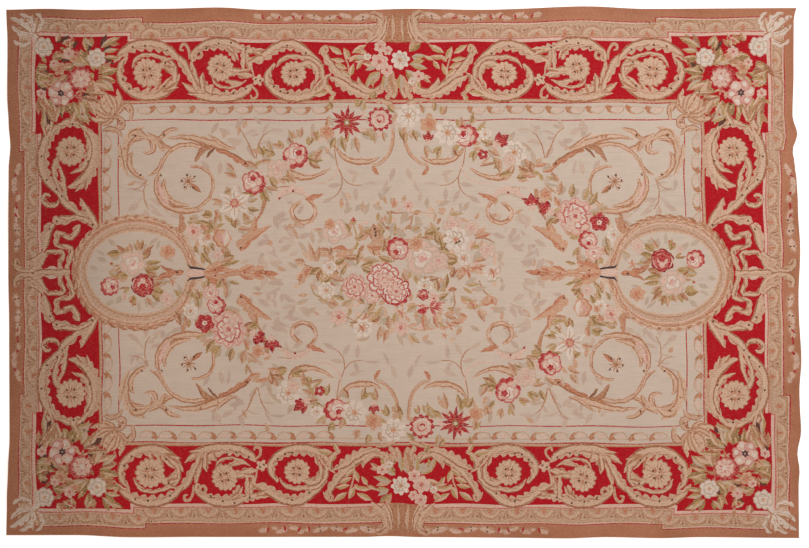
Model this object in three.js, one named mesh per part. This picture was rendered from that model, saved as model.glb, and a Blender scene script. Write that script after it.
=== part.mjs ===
// A flat-woven tapestry rug, 9 by 6 feet, lying face up on a floor.
// Millimetres. X runs along the rug's length, Y across its width and Z up; the origin is on the floor under
// the middle of the rug. The rug is one woven sheet: its outline is a little out of square, its edges wander
// by a few millimetres, and it stands off the floor in low ripples where those edges bulge.
import * as THREE from "three";

const LENGTH = 2740;
const WIDTH = 1830;
const THICKNESS = 3;

// How far each corner lies from the true rectangle's corner, along X and along Y.
const CORNERS = {
  topLeft: { x: -5, y: -2 },
  topRight: { x: -17, y: 3 },
  bottomLeft: { x: -5, y: 5 },
  bottomRight: { x: 0, y: -4 },
};

// How far each edge bulges out of the straight line between its corners.
// at: place along the edge, from the rug's middle; out: bulge, negative where the edge draws in.
const TOP_EDGE = [
  { at: -1370, out: 0 },
  { at: -1240, out: 3 },
  { at: -1080, out: -1 },
  { at: -850, out: 2 },
  { at: -640, out: 6 },
  { at: -470, out: -2 },
  { at: -140, out: -3 },
  { at: 30, out: 1 },
  { at: 280, out: -3 },
  { at: 640, out: 7 },
  { at: 860, out: -1 },
  { at: 1370, out: 1 },
];
const BOTTOM_EDGE = [
  { at: -1370, out: -1 },
  { at: -1130, out: -2 },
  { at: -960, out: 4 },
  { at: -690, out: 3 },
  { at: -140, out: 1 },
  { at: -50, out: -2 },
  { at: 60, out: 1 },
  { at: 560, out: 3 },
  { at: 700, out: -1 },
  { at: 890, out: 2 },
  { at: 1030, out: -2 },
  { at: 1370, out: 0 },
];
const LEFT_EDGE = [
  { at: -915, out: 4 },
  { at: -800, out: 2 },
  { at: -680, out: -3 },
  { at: -580, out: -7 },
  { at: -200, out: -6 },
  { at: 0, out: -3 },
  { at: 360, out: -4 },
  { at: 440, out: -10 },
  { at: 520, out: -4 },
  { at: 610, out: 0 },
  { at: 800, out: 0 },
  { at: 915, out: 4 },
];
const RIGHT_EDGE = [
  { at: -915, out: 0 },
  { at: -740, out: 0 },
  { at: -680, out: 4 },
  { at: -625, out: -3 },
  { at: -545, out: 9 },
  { at: -405, out: 6 },
  { at: -300, out: 12 },
  { at: -95, out: 6 },
  { at: 95, out: 12 },
  { at: 235, out: 6 },
  { at: 320, out: 3 },
  { at: 375, out: -3 },
  { at: 425, out: -10 },
  { at: 480, out: 5 },
  { at: 540, out: -9 },
  { at: 700, out: -4 },
  { at: 880, out: -2 },
  { at: 915, out: 8 },
];
// Part of each half of the rug, from the edge in, over which a bulge fades away.
const FADE = 0.14;

// Low ripples that stand off the floor, each highest at x, y and flat beyond reachX and reachY.
const RIPPLES = [
  { x: 1375, y: 480, reachX: 230, reachY: 75, height: 9 },
  { x: 1370, y: 250, reachX: 170, reachY: 110, height: 4 },
  { x: 1375, y: 60, reachX: 210, reachY: 130, height: 6 },
  { x: 1375, y: -300, reachX: 220, reachY: 120, height: 7 },
  { x: 1372, y: -545, reachX: 190, reachY: 80, height: 6 },
  { x: -1372, y: 640, reachX: 170, reachY: 130, height: 4 },
  { x: -1372, y: 200, reachX: 170, reachY: 160, height: 3 },
  { x: -1372, y: -700, reachX: 190, reachY: 140, height: 5 },
  { x: -640, y: 918, reachX: 140, reachY: 150, height: 4 },
  { x: 640, y: 920, reachX: 200, reachY: 190, height: 7 },
  { x: 560, y: -916, reachX: 170, reachY: 150, height: 4 },
  { x: -900, y: -912, reachX: 180, reachY: 150, height: 4 },
];

// Steps of the sheet's mesh along its length and across its width. They are closest together at the edges.
const STEPS_LONG = 44;
const STEPS_WIDE = 34;
const CROWDING = 0.75;

const MATERIAL = new THREE.MeshStandardMaterial({ color: 0xc3a48a, roughness: 0.95, metalness: 0 });

// An edge's bulge at a place along it, eased from row to row.
function bulge(rows, place) {
  const next = rows.findIndex((row) => row.at >= place);
  if (next <= 0) return rows[next === 0 ? 0 : rows.length - 1].out;
  const before = rows[next - 1];
  const after = rows[next];
  const share = (place - before.at) / (after.at - before.at);
  return before.out + (after.out - before.out) * THREE.MathUtils.smoothstep(share, 0, 1);
}

// A soft hump: 1 at the middle, 0 from reach on.
function hump(distance, reach) {
  const share = Math.min(Math.abs(distance) / reach, 1);
  return Math.cos((share * Math.PI) / 2) ** 2;
}

// How far the sheet's underside is above the floor.
function lift(x, y) {
  return RIPPLES.reduce((sum, r) => sum + r.height * hump(x - r.x, r.reachX) * hump(y - r.y, r.reachY), 0);
}

// The place on the floor of a point given by its shares along the rug and across it, each from -1 to 1.
function place(along, across) {
  const right = (1 + along) / 2;
  const top = (1 + across) / 2;
  const square = (axis) =>
    (1 - right) * (top * CORNERS.topLeft[axis] + (1 - top) * CORNERS.bottomLeft[axis]) +
    right * (top * CORNERS.topRight[axis] + (1 - top) * CORNERS.bottomRight[axis]);
  const x = (along * LENGTH) / 2;
  const y = (across * WIDTH) / 2;
  const nearSide = THREE.MathUtils.smoothstep(Math.abs(along), 1 - FADE, 1);
  const nearEnd = THREE.MathUtils.smoothstep(Math.abs(across), 1 - 2 * FADE, 1);
  const sideways = along < 0 ? -bulge(LEFT_EDGE, y) : bulge(RIGHT_EDGE, y);
  const upwards = across < 0 ? -bulge(BOTTOM_EDGE, x) : bulge(TOP_EDGE, x);
  return new THREE.Vector2(x + square("x") + nearSide * sideways, y + square("y") + nearEnd * upwards);
}

// The shares at which the mesh has its lines: even in the middle, closer together towards both ends.
function lines(steps) {
  return Array.from({ length: steps + 1 }, (_, i) => {
    const even = (2 * i) / steps - 1;
    return (1 - CROWDING) * even + CROWDING * Math.sin((even * Math.PI) / 2);
  });
}

// The sheet as one closed surface: a top, an underside and a wall round the edge.
function sheetGeometry() {
  const columns = lines(STEPS_LONG);
  const rows = lines(STEPS_WIDE);
  const positions = [];
  for (const height of [0, THICKNESS]) {
    for (const across of rows) {
      for (const along of columns) {
        const at = place(along, across);
        positions.push(at.x, at.y, lift(at.x, at.y) + height);
      }
    }
  }
  const layer = columns.length * rows.length;
  const under = (i, j) => j * columns.length + i;
  const over = (i, j) => layer + under(i, j);
  const faces = [];
  for (let j = 0; j < STEPS_WIDE; j++) {
    for (let i = 0; i < STEPS_LONG; i++) {
      faces.push(over(i, j), over(i + 1, j), over(i + 1, j + 1));
      faces.push(over(i, j), over(i + 1, j + 1), over(i, j + 1));
      faces.push(under(i, j), under(i + 1, j + 1), under(i + 1, j));
      faces.push(under(i, j), under(i, j + 1), under(i + 1, j + 1));
    }
  }
  const wall = (i, j, k, l) => {
    faces.push(under(i, j), under(k, l), over(k, l));
    faces.push(under(i, j), over(k, l), over(i, j));
  };
  for (let i = 0; i < STEPS_LONG; i++) {
    wall(i, 0, i + 1, 0);
    wall(i + 1, STEPS_WIDE, i, STEPS_WIDE);
  }
  for (let j = 0; j < STEPS_WIDE; j++) {
    wall(STEPS_LONG, j, STEPS_LONG, j + 1);
    wall(0, j + 1, 0, j);
  }
  const geometry = new THREE.BufferGeometry();
  geometry.setAttribute("position", new THREE.Float32BufferAttribute(positions, 3));
  geometry.setIndex(faces);
  geometry.computeVertexNormals();
  return geometry;
}

const model = new THREE.Group();
const rug = new THREE.Mesh(sheetGeometry(), MATERIAL);
rug.name = "rug";
model.add(rug);

export default model;
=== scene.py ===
import math
import random

import bpy
import numpy as np
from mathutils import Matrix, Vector
from mathutils.geometry import delaunay_2d_cdt


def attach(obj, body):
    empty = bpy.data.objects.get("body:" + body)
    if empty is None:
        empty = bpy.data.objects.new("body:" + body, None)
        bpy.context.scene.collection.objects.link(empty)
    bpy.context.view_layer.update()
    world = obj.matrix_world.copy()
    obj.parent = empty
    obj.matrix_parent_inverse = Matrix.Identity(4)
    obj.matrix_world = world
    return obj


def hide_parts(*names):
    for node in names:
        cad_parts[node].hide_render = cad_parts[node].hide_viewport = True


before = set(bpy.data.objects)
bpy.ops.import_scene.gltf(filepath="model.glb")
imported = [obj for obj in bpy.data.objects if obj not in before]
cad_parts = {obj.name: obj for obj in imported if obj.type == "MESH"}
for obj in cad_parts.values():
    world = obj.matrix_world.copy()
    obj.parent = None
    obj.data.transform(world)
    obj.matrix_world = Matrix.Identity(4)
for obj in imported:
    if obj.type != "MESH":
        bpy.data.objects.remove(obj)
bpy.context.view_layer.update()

# A flat-woven tapestry rug, 9 by 6 feet, seen from straight above. Metres, in the frame of the CAD part.
# The sheet repeats the outline and the ripples of the CAD source; its face is one flat mosaic of wool areas.
LENGTH = 2.740
WIDTH = 1.830
THICKNESS = 0.003

# Outline and ripples, the same rows as in the CAD source, in millimetres
MM = 0.001
# How far each corner lies from the true rectangle's corner: x, y
CORNERS = {"top_left": (-5, -2), "top_right": (-17, 3), "bottom_left": (-5, 5), "bottom_right": (0, -4)}
# How far each edge bulges out of the line between its corners: place along the edge, bulge
TOP_EDGE = [
    (-1370, 0), (-1240, 3), (-1080, -1), (-850, 2), (-640, 6), (-470, -2), (-140, -3), (30, 1), (280, -3),
    (640, 7), (860, -1), (1370, 1),
]
BOTTOM_EDGE = [
    (-1370, -1), (-1130, -2), (-960, 4), (-690, 3), (-140, 1), (-50, -2), (60, 1), (560, 3), (700, -1),
    (890, 2), (1030, -2), (1370, 0),
]
LEFT_EDGE = [
    (-915, 4), (-800, 2), (-680, -3), (-580, -7), (-200, -6), (0, -3), (360, -4), (440, -10), (520, -4),
    (610, 0), (800, 0), (915, 4),
]
RIGHT_EDGE = [
    (-915, 0), (-740, 0), (-680, 4), (-625, -3), (-545, 9), (-405, 6), (-300, 12), (-95, 6), (95, 12),
    (235, 6), (320, 3), (375, -3), (425, -10), (480, 5), (540, -9), (700, -4), (880, -2), (915, 8),
]
# Low ripples that stand off the floor: x, y, reach along x, reach along y, height
RIPPLES = [
    (1375, 480, 230, 75, 9), (1370, 250, 170, 110, 4), (1375, 60, 210, 130, 6), (1375, -300, 220, 120, 7),
    (1372, -545, 190, 80, 6), (-1372, 640, 170, 130, 4), (-1372, 200, 170, 160, 3),
    (-1372, -700, 190, 140, 5), (-640, 918, 140, 150, 4), (640, 920, 200, 190, 7), (560, -916, 170, 150, 4),
    (-900, -912, 180, 150, 4),
]
# Part of each half of the rug, from the edge in, over which a bulge of its sides and of its ends fades away
SIDE_FADE = 0.06
END_FADE = 0.28

# The cartoon: a drawing ruled in steps of the weave, x to the right and y down
LONG_STEPS = 790
STEP = LENGTH / LONG_STEPS
MIDDLE = (404, 273)
HALF_LONG = LENGTH / 2 / STEP
HALF_WIDE = WIDTH / 2 / STEP
# The woven drawing leans: its upright axis stands this far off the rug's middle at the top, in steps
LEAN = -4.0
# The right half was woven a little wider than the left
RIGHT_STRETCH = 1.004

# Wools, as sRGB
WOOL = {
    "terracotta": (175, 118, 91),
    "red": (170, 9, 26),
    "cream": (194, 177, 163),
    "guard": (188, 155, 132),
    "ivory": (200, 168, 145),
    "shell": (192, 157, 134),
    "biscuit": (178, 132, 105),
    "sand": (188, 150, 124),
    "fawn": (172, 124, 95),
    "tan": (168, 116, 86),
    "brown": (154, 102, 73),
    "umber": (92, 56, 46),
    "white": (210, 195, 184),
    "blush": (206, 174, 160),
    "pink": (198, 148, 138),
    "rose": (183, 98, 92),
    "madder": (168, 42, 48),
    "crimson": (140, 28, 38),
    "dusk": (189, 166, 150),
    "coral": (182, 120, 92),
    "peach": (193, 150, 124),
    "olive": (172, 141, 97),
    "moss": (146, 114, 72),
    "sage": (179, 160, 142),
    "mist": (185, 161, 147),
    "navy": (62, 54, 60),
}

# How much hatching shows in a wool's areas, where it isn't all of it
HATCHING = {
    "cream": 0.0, "sage": 0.25, "mist": 0.2, "umber": 0.15, "navy": 0.1, "dusk": 0.4, "red": 0.08,
    "terracotta": 0.3,
}

random.seed(7)
# Areas of wool in the order in which they are drawn: outline, wool, whether the outline is exact
patches = []


def flow(knots, parts):
    """Points on a smooth curve through the knots, each stretch in so many parts."""
    knots = np.asarray(knots, float)
    ends = np.vstack([2 * knots[0] - knots[1], knots, 2 * knots[-1] - knots[-2]])
    points = []
    for a, b, c, d in zip(ends, ends[1:], ends[2:], ends[3:]):
        for t in np.arange(parts) / parts:
            square, cube = 2 * a - 5 * b + 4 * c - d, 3 * b - a - 3 * c + d
            points.append(b + ((c - a) * t + square * t**2 + cube * t**3) / 2)
    points.append(knots[-1])
    return np.array(points)


def evenly(route, count):
    """The route again, in equal steps along its length."""
    gone = np.concatenate([[0], np.cumsum(np.hypot(*np.diff(route[:, :2], axis=0).T))])
    at = np.linspace(0, gone[-1], count)
    return np.stack([np.interp(at, gone, column) for column in route.T], axis=1)


def across(route):
    """Unit vectors to one side of a route."""
    way = np.gradient(route[:, :2], axis=0)
    way /= np.maximum(np.hypot(way[:, 0], way[:, 1]), 1e-9)[:, None]
    return np.stack([way[:, 1], -way[:, 0]], axis=1)


class Pen:
    """Draws flat areas of wool. A later area lies over an earlier one."""

    def __init__(self, place=None):
        self.place = np.eye(3) if place is None else place

    def at(self, x, y, turn=0, size=1, flip=False):
        """A pen whose own 0, 0 is at x, y. turn is in degrees, clockwise."""
        a = math.radians(turn)
        c, s, f = size * math.cos(a), size * math.sin(a), -1 if flip else 1
        return Pen(self.place @ np.array([[c, -s * f, x], [s, c * f, y], [0, 0, 1]]))

    def patch(self, points, wool, exact=False):
        """A closed area. An exact one keeps all its points, because its neighbours share them."""
        points = np.asarray(points, float)
        patches.append((points @ self.place[:2, :2].T + self.place[:2, 2], wool, exact))

    def blob(self, x, y, r, wool, wide=1.0, turn=0, sides=10):
        """A small oval, turned."""
        c, s = math.cos(math.radians(turn)), math.sin(math.radians(turn))
        angles = [2 * math.pi * k / sides for k in range(sides)]
        level = [(r * math.cos(t), r * wide * math.sin(t)) for t in angles]
        self.patch([(x + u * c - v * s, y + u * s + v * c) for u, v in level], wool)

    def lobed(self, x, y, r, lobes, wool, depth=0.15, turn=0, wide=1.0):
        """A round with a scalloped edge."""
        points = []
        for k in range(lobes * 3):
            t = math.radians(turn) + 2 * math.pi * k / (lobes * 3)
            out = r if k % 3 else r * (1 - depth)
            points.append((x + out * math.cos(t), y + out * wide * math.sin(t)))
        self.patch(points, wool)

    def arc(self, x, y, r, start, end, width, wool, thin=0.2, wide=1.0):
        """A crescent round x, y, from one angle to another, thinner at its ends."""
        count = max(4, int(abs(end - start) / 22))
        knots = []
        for k in range(count + 1):
            t = math.radians(start + (end - start) * k / count)
            swell = thin + (1 - thin) * math.sin(math.pi * k / count)
            knots.append((x + r * math.cos(t), y + r * wide * math.sin(t), width * swell))
        self.band(knots, wool, parts=1)

    def band(self, knots, wool, side=0.0, share=1.0, parts=3):
        """A ribbon along knots of x, y, width. side and share pick a strip of it, from -1 to 1 across."""
        route = flow(knots, parts)
        half = np.maximum(route[:, 2:3], 0.02) / 2
        out = across(route) * half
        middle = route[:, :2] + out * side
        self.patch(np.vstack([middle + out * share, (middle - out * share)[::-1]]), wool)

    def leaf(self, x, y, turn, long, wide, wool, shade=None):
        """A leaf or petal that grows from x, y, one half of it in the shade's wool."""
        pen = self.at(x, y, turn)
        h = wide / 2
        upper = [(0, 0), (0.3 * long, -0.85 * h), (0.62 * long, -0.9 * h), (long, 0)]
        lower = [(0.62 * long, 0.9 * h), (0.3 * long, 0.85 * h)]
        pen.patch(upper + lower, wool, exact=True)
        if shade:
            pen.patch([(0, 0), (long, 0)] + lower, shade, exact=True)


# Parts of the drawing that come again and again
TOOTH = 9  # steps from one tooth of a scroll to the next
EYE = 1.35  # radius of a dark dot


def scroll(pen, knots, shade=1, lobes=0, tones=("shell", "tan", "brown"), seam=0.66, line=None, light=None):
    """A modelled scroll: its body, a darker edge from the seam out, a toothed other edge, and folds that run
    into the teeth. line is the wool of a line inside the teeth, and light that of a strip inside the seam."""
    body, fold, dark = tones
    route = flow(knots, 4)
    teeth = lobes or max(2, round(np.hypot(*np.diff(route[:, :2], axis=0).T).sum() / TOOTH))
    route = evenly(route, 3 * teeth + 1)
    out = across(route) * np.maximum(route[:, 2:3], 0.04) / 2 * shade
    # how deep the teeth are cut, as a share of the half width
    deep = 0.55 if lobes else 0.42
    comb = np.array([1 - deep, 1 - 0.2 * deep, 1.05] * teeth + [1 - deep])[:, None]
    middle = route[:, :2]
    edge, inner, toothed, roots = middle + out, middle + seam * out, middle - out * comb, middle - 0.05 * out
    pen.patch(np.vstack([edge, toothed[::-1]]), body, exact=True)
    pen.patch(np.vstack([edge, inner[::-1]]), dark, exact=True)
    if light:
        pen.patch(np.vstack([inner, roots[::-1]]), light, exact=True)
    for k in range(3, 3 * teeth + 1, 3):
        base = max(k - 5, 0)
        pen.patch([roots[base], toothed[k], roots[base + 1]], fold if k % 2 else dark, exact=True)
    if line:
        pen.patch(np.vstack([middle - 0.35 * out, (middle - 0.58 * out)[::-1]]), line, exact=True)


def dots(pen, places, wool="umber", r=EYE):
    for x, y in places:
        pen.blob(x, y, r, wool, wide=0.7, turn=-50, sides=7)


def rosette(pen, x, y, r, turn=0):
    """An open round flower of the scrolls, with a toothed edge, a fan of folds and a ring of dark eyes."""
    pen.lobed(x, y, r, 15, "fawn", depth=0.12, turn=turn)
    pen.lobed(x + 0.3, y - 0.3, 0.94 * r, 15, "ivory", depth=0.14, turn=turn)
    for k in range(15):
        out = (0.85 if k % 3 else 0.6) * r
        fold = [(0, 0), (0.5 * out, -0.05 * r), (out, 0), (0.5 * out, 0.05 * r)]
        pen.at(x, y, turn + 24 * k).patch(fold, "biscuit" if k % 3 else "brown", exact=True)
    for k in range(7):
        pen.leaf(x, y, turn + 360 * k / 7, 0.42 * r, 0.16 * r, "coral" if k % 2 else "sand")
    pen.blob(x, y, 0.13 * r, "ivory", sides=7)
    for k in range(4):
        t = math.radians(turn + 35 + 90 * k)
        eye_x, eye_y = x + 0.34 * r * math.cos(t), y + 0.34 * r * math.sin(t)
        pen.blob(eye_x, eye_y, EYE, "umber", wide=0.7, turn=-50, sides=6)


# Bands and grounds
def notched(long_mid, long_corner, wide_mid, wide_corner, jog_long, jog_wide):
    """A frame's outline whose corners stand out from its sides: half sizes, and where it jogs."""
    points = [
        (long_mid, jog_wide), (long_corner, jog_wide), (long_corner, wide_corner),
        (jog_long, wide_corner), (jog_long, wide_mid),
    ]
    points = points + [(-u, v) for u, v in reversed(points)]
    points = points + [(u, -v) for u, v in reversed(points)]
    return [(MIDDLE[0] + u, MIDDLE[1] + v) for u, v in points]


# Wool areas from the edge in. Half sizes of their outline at the sides and corners, and where it jogs.
FRAMES = [
    ("madder", 378.9, 384.4, 250.7, 255.2, 257.0, 121.5),
    ("blush", 377.9, 383.4, 249.7, 254.2, 258.0, 122.5),
    ("olive", 376.6, 382.1, 248.4, 252.9, 259.3, 123.8),
    ("guard", 375.9, 381.4, 247.7, 252.2, 260.0, 124.5),
    ("fawn", 366.6, 373.2, 236.8, 243.2, 265.8, 138.2),
    ("guard", 366.0, 372.5, 236.1, 242.5, 266.5, 138.9),
    ("rose", 364.4, 370.9, 234.8, 241.0, 268.2, 140.2),
    ("blush", 363.4, 369.8, 233.8, 239.9, 269.3, 141.3),
    ("red", 361.0, 366.6, 230.9, 236.6, 271.8, 139.4),
]
# Plain frames within them: wool, half length, half width
INNER_FRAMES = [
    ("fawn", 303.4, 173.2),
    ("sand", 302.7, 172.4),
    ("madder", 300.6, 170.5),
    ("cream", 299.5, 169.5),
    ("peach", 295.6, 165.6),
    ("cream", 294.8, 164.8),
    ("madder", 283.6, 153.5),
    ("cream", 282.5, 152.4),
]
for wool, *sizes in FRAMES:
    Pen().patch(notched(*sizes), wool)
for wool, long, wide in INNER_FRAMES:
    corners = [(long, wide), (-long, wide), (-long, -wide), (long, -wide)]
    Pen().patch([(MIDDLE[0] + u, MIDDLE[1] + v) for u, v in corners], wool)

# The border is the same in all four quarters. Each is drawn as the top left one.
MIRROR_X = np.array([[-1, 0, 2 * MIDDLE[0]], [0, 1, 0], [0, 0, 1]], float)
MIRROR_Y = np.array([[1, 0, 0], [0, -1, 2 * MIDDLE[1]], [0, 0, 1]], float)
QUARTERS = [Pen(), Pen(MIRROR_X), Pen(MIRROR_Y), Pen(MIRROR_X @ MIRROR_Y)]
HALVES = [Pen(), Pen(MIRROR_X @ MIRROR_Y)]


# Guard repeats
def lotus(pen):
    """One repeat of the outer guard, 26 steps long and 12 wide: two arches over a fan, and a drop."""
    pen.arc(0, 12.2, 11.4, 188, 352, 1.2, "fawn", thin=0.8, wide=0.9)
    pen.arc(0, 12.2, 8.6, 190, 350, 1.5, "ivory", thin=0.7, wide=0.9)
    for turn in (-150, -118, -62, -30):
        c, d = math.cos(math.radians(turn)), math.sin(math.radians(turn))
        pen.patch([(d, 12.2 - c), (5.6 * c, 12.2 + 5.6 * d), (-d, 12.2 + c)], "fawn")
    pen.patch([(-1.6, 12), (-1.8, 8), (0, 5.6), (1.8, 8), (1.6, 12)], "coral")
    for foot, tip in ((8.2, 12.5), (17.8, 13.5)):
        pen.patch([(foot, 2.4), (foot + 1.3, 2.2), (tip, 10.6)], "brown")
    pen.patch([(11.4, 3), (14.6, 3), (13.4, 5.4), (13, 10.8), (12.6, 5.4)], "brown")


def husk(pen):
    """One repeat of the inner guard, 19.7 steps long: a pale cup hung on a line, with a turned leaf."""
    pen.patch([(-8.6, 0), (7.6, -0.8), (9.2, 1.6), (6.6, 5.8), (2.5, 7.4), (-3.5, 7.2), (-7.6, 4.2)], "sand")
    pen.patch([(-7.6, 0.5), (5.8, 0), (4.6, 4.2), (0.6, 6.3), (-3.4, 6.2), (-6.6, 3.6)], "cream")
    pen.patch([(-5.4, 1.8), (3, 1.4), (0.5, 4.4), (-3, 4.6)], "blush")
    pen.patch([(3.6, 0.2), (9.2, -1.8), (11, 0.6), (8.4, 5.2), (4.4, 7.2), (6.4, 2.8)], "tan")
    pen.patch([(6.4, 0.8), (9.6, -0.6), (7.6, 4.4)], "coral")


# The guards' runs in one quarter: the repeat, how many, the first one's x and y, the pitch, whether down
GUARD_RUNS = [
    (lotus, 4, 61, 19.5, 26.3, False),
    (lotus, 9, 156, 26, 27.0, False),
    (lotus, 4, 20, 61, 26.3, True),
    (lotus, 4, 26.5, 170, 26.0, True),
    (husk, 10, 149, 107.2, 19.6, False),
    (husk, 5, 106.5, 143, 19.4, True),
]


def guards(pen):
    for repeat, count, x, y, pitch, down in GUARD_RUNS:
        for k in range(count):
            if down:
                repeat(pen.at(x, y + pitch * k, 90, flip=True))
            else:
                repeat(pen.at(x + pitch * k, y))


# Border scrolls of one quarter: knots of x, y, width; the shaded side; lobes on its other side, if any
TOP_SCROLLS = [
    # first scroll
    ([(196, 62, 3), (199, 73, 5), (203, 86, 6), (213, 96, 3)], 1, 0),
    ([(178, 53, 3), (187, 63, 9), (194, 76, 7), (203, 90, 5), (210, 96, 2)], 1, 0),
    ([(131, 57, 3), (123.5, 67, 7), (124.5, 79, 9), (132, 88.5, 9), (144, 94, 11), (157, 94.5, 12),
      (169, 90, 12), (179, 82, 7), (184, 74, 1)], -1, 10),
    ([(117, 63, 1), (126, 54, 8), (138, 47, 11), (152, 45, 12), (165, 46.5, 11), (176, 52.5, 9),
      (183, 60, 4)], 1, 8),
    ([(135, 68, 1), (141, 58, 4), (153, 54.5, 4), (165, 57, 4), (175, 63, 7), (178.5, 73, 7),
      (176, 86, 3)], 1, 0),
    ([(158, 73, 2), (166, 65, 8), (174, 66, 7), (178, 74, 2)], 1, 0),
    # second scroll
    ([(186, 83, 1), (197, 91, 8), (211, 95.5, 11), (226, 96, 12), (240, 95, 11), (252, 90, 8),
      (258, 84, 2)], -1, 0),
    ([(208, 73, 1), (207, 82, 8), (214, 89, 9), (224, 92, 4)], -1, 4),
    ([(199, 62, 6), (198, 55, 6), (204, 50, 7), (213, 46, 11), (225, 45, 12), (237, 46, 11), (247, 50, 6)],
      1, 0),
    ([(230, 47, 3), (237, 53, 8), (240, 61, 2)], 1, 3),
    ([(244, 47, 6), (255, 49.5, 8), (267, 52, 1)], -1, 4),
    ([(248, 50, 4), (248, 62, 5), (249, 74, 1)], 1, 0),
    ([(251, 52, 3), (255, 63, 4), (259, 75, 1)], 1, 0),
    ([(216, 75, 1), (221, 84, 3), (231, 87, 3), (243, 85, 3), (252, 80, 1)], -1, 0),
    ([(226, 75, 3), (238, 71, 8), (248, 74, 8), (260, 76, 1)], 1, 4),
    ([(228, 78, 2), (239, 83, 6), (250, 82, 1)], 1, 3),
    # third scroll
    ([(280, 64, 3), (274, 72, 6), (273.5, 81, 9), (279, 89, 9), (289, 94.5, 11), (301, 96, 12),
      (313, 94, 11), (323, 89, 9), (329, 82, 5), (327, 73, 1)], -1, 0),
    ([(251, 57, 1), (260, 60, 8), (270, 56, 10), (279, 49.5, 11), (290, 45.5, 11), (301, 46, 11),
      (310, 51, 9), (319, 57, 6), (328, 66, 4)], 1, 0),
    ([(281, 68, 1), (286, 60.5, 4), (296, 57, 5), (307, 58, 5), (316, 59, 6), (325, 66, 6), (327, 76, 5),
      (322, 88, 3)], 1, 0),
    ([(303, 69, 3), (311, 64, 9), (319, 66, 7), (322, 75, 5), (320, 84, 1)], 1, 0),
    # acanthus that runs to the middle of the border
    ([(329, 47, 4), (331, 56, 7), (337, 66, 8), (345, 77, 10), (356, 87, 12), (369, 93, 10), (381, 92, 8),
      (388, 86, 6), (390, 78, 4)], 1, 0),
    ([(334, 76, 1), (343, 82, 9), (356, 91, 9), (370, 96.5, 6), (382, 96, 2)], 1, 7),
    ([(336, 73, 1), (330, 80, 6), (333, 90, 4), (341, 96, 1)], 1, 0),
    ([(363, 78, 1), (366, 86, 6), (374, 91, 3)], 1, 3),
]
LEFT_SCROLLS = [
    # leaf out of the corner, and the oval scroll
    ([(63, 101, 1), (59, 110, 6), (55, 119, 8), (49, 131, 7), (45, 143, 3)], -1, 4),
    ([(88, 128, 2), (95, 136, 9), (98, 148, 10), (97, 162, 11), (92, 174, 12), (83, 183, 11),
      (70, 187, 2)], -1, 0),
    ([(70, 124, 3), (58, 129, 9), (50, 139, 11), (46, 152, 12), (45.5, 166, 12), (49, 179, 11),
      (58, 190, 7), (66, 199, 3)], -1, 0),
    ([(86, 131, 1), (91, 144, 6), (90, 157, 7), (84, 168, 6), (73, 173, 1)], 1, 5),
    ([(57, 128, 1), (66, 124, 7), (75, 123, 9), (84, 126, 7), (90, 133, 1)], 1, 0),
    ([(66, 154, 3), (59, 163, 7), (57, 174, 6), (60, 186, 4), (64, 196, 2)], -1, 0),
    ([(62, 166, 2), (65, 177, 5), (66, 189, 5), (68, 197, 2)], 1, 0),
    # stem down to the oval medallion, with its curl and bud leaves
    ([(61, 199, 2), (58, 204, 4), (51.5, 206, 4.5), (45.5, 203, 4.5), (44, 198, 4), (48, 194, 3.5),
      (51.5, 197, 2)], 1, 0),
    ([(60, 192, 5), (67, 201, 10), (77, 210, 7), (88, 219, 6), (98, 229, 5)], -1, 4),
    ([(82, 198, 1), (85, 206, 7), (90, 215, 9), (95, 223, 8), (99, 230, 2)], 1, 4),
    ([(97, 229, 3), (88, 221.5, 6), (78, 217.5, 5), (68, 220, 9), (59, 220, 10), (56, 216, 3)], -1, 0),
    ([(54, 223, 8), (49, 232, 10), (47, 242, 9), (45.5, 251, 2)], 1, 0),
    # bent ribbon beside the medallion
    ([(82, 225, 2), (79, 229, 7), (75, 237, 6), (69, 237.5, 5), (64, 233, 5), (60, 233, 6),
      (58.5, 241, 6), (61, 246.5, 5), (69, 247, 5), (73.5, 250, 6), (72, 258, 6), (69, 266, 5),
      (68, 273, 4)], 1, 0),
    ([(47, 257, 4), (50, 252, 4), (58, 252, 5), (65, 253, 5), (63.5, 259, 5), (60.5, 266, 5),
      (64, 272, 3)], 1, 0),
]
BORDER_DOTS = [
    (137, 47), (150, 45.5), (172, 50), (170, 63), (125.5, 79), (132, 88.5), (167, 86), (204, 55),
    (211.5, 49.6), (223.5, 45), (235.5, 43.5), (250.5, 48.7), (229, 91.3), (238, 93), (251, 89),
    (293, 45.6), (311, 53.4), (279, 87), (286, 92), (293, 93), (75, 124.5), (43.8, 157), (91, 161),
    (48.7, 180.5), (58.5, 189), (63, 196), (59, 221), (52, 228.5), (94, 225.5),
]
ROSETTES = [(151, 72.5, 15, 0), (225.5, 68, 13.5, 20), (298.5, 74, 13, 5), (73, 151.5, 15, 10)]
# Thin curls: knots of x, y, width
CURLS = [
    [(194, 60, 1), (194, 52, 2.6), (191.5, 46, 3.2), (187, 45, 3.2), (185.5, 49.5, 2.4), (189, 51, 1.4)],
    [(257, 86, 2), (262, 92, 2.6), (261.5, 97.5, 2.6), (257, 98.6, 2.4), (255.7, 95, 1.6)],
    [(325, 54, 1), (328, 48, 3), (332.5, 46, 3), (334, 50, 2.6), (331, 53, 1.6)],
    [(203, 50, 1), (199.5, 54, 3), (203, 59, 3), (207, 56.5, 3), (206, 52, 2)],
]
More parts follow.
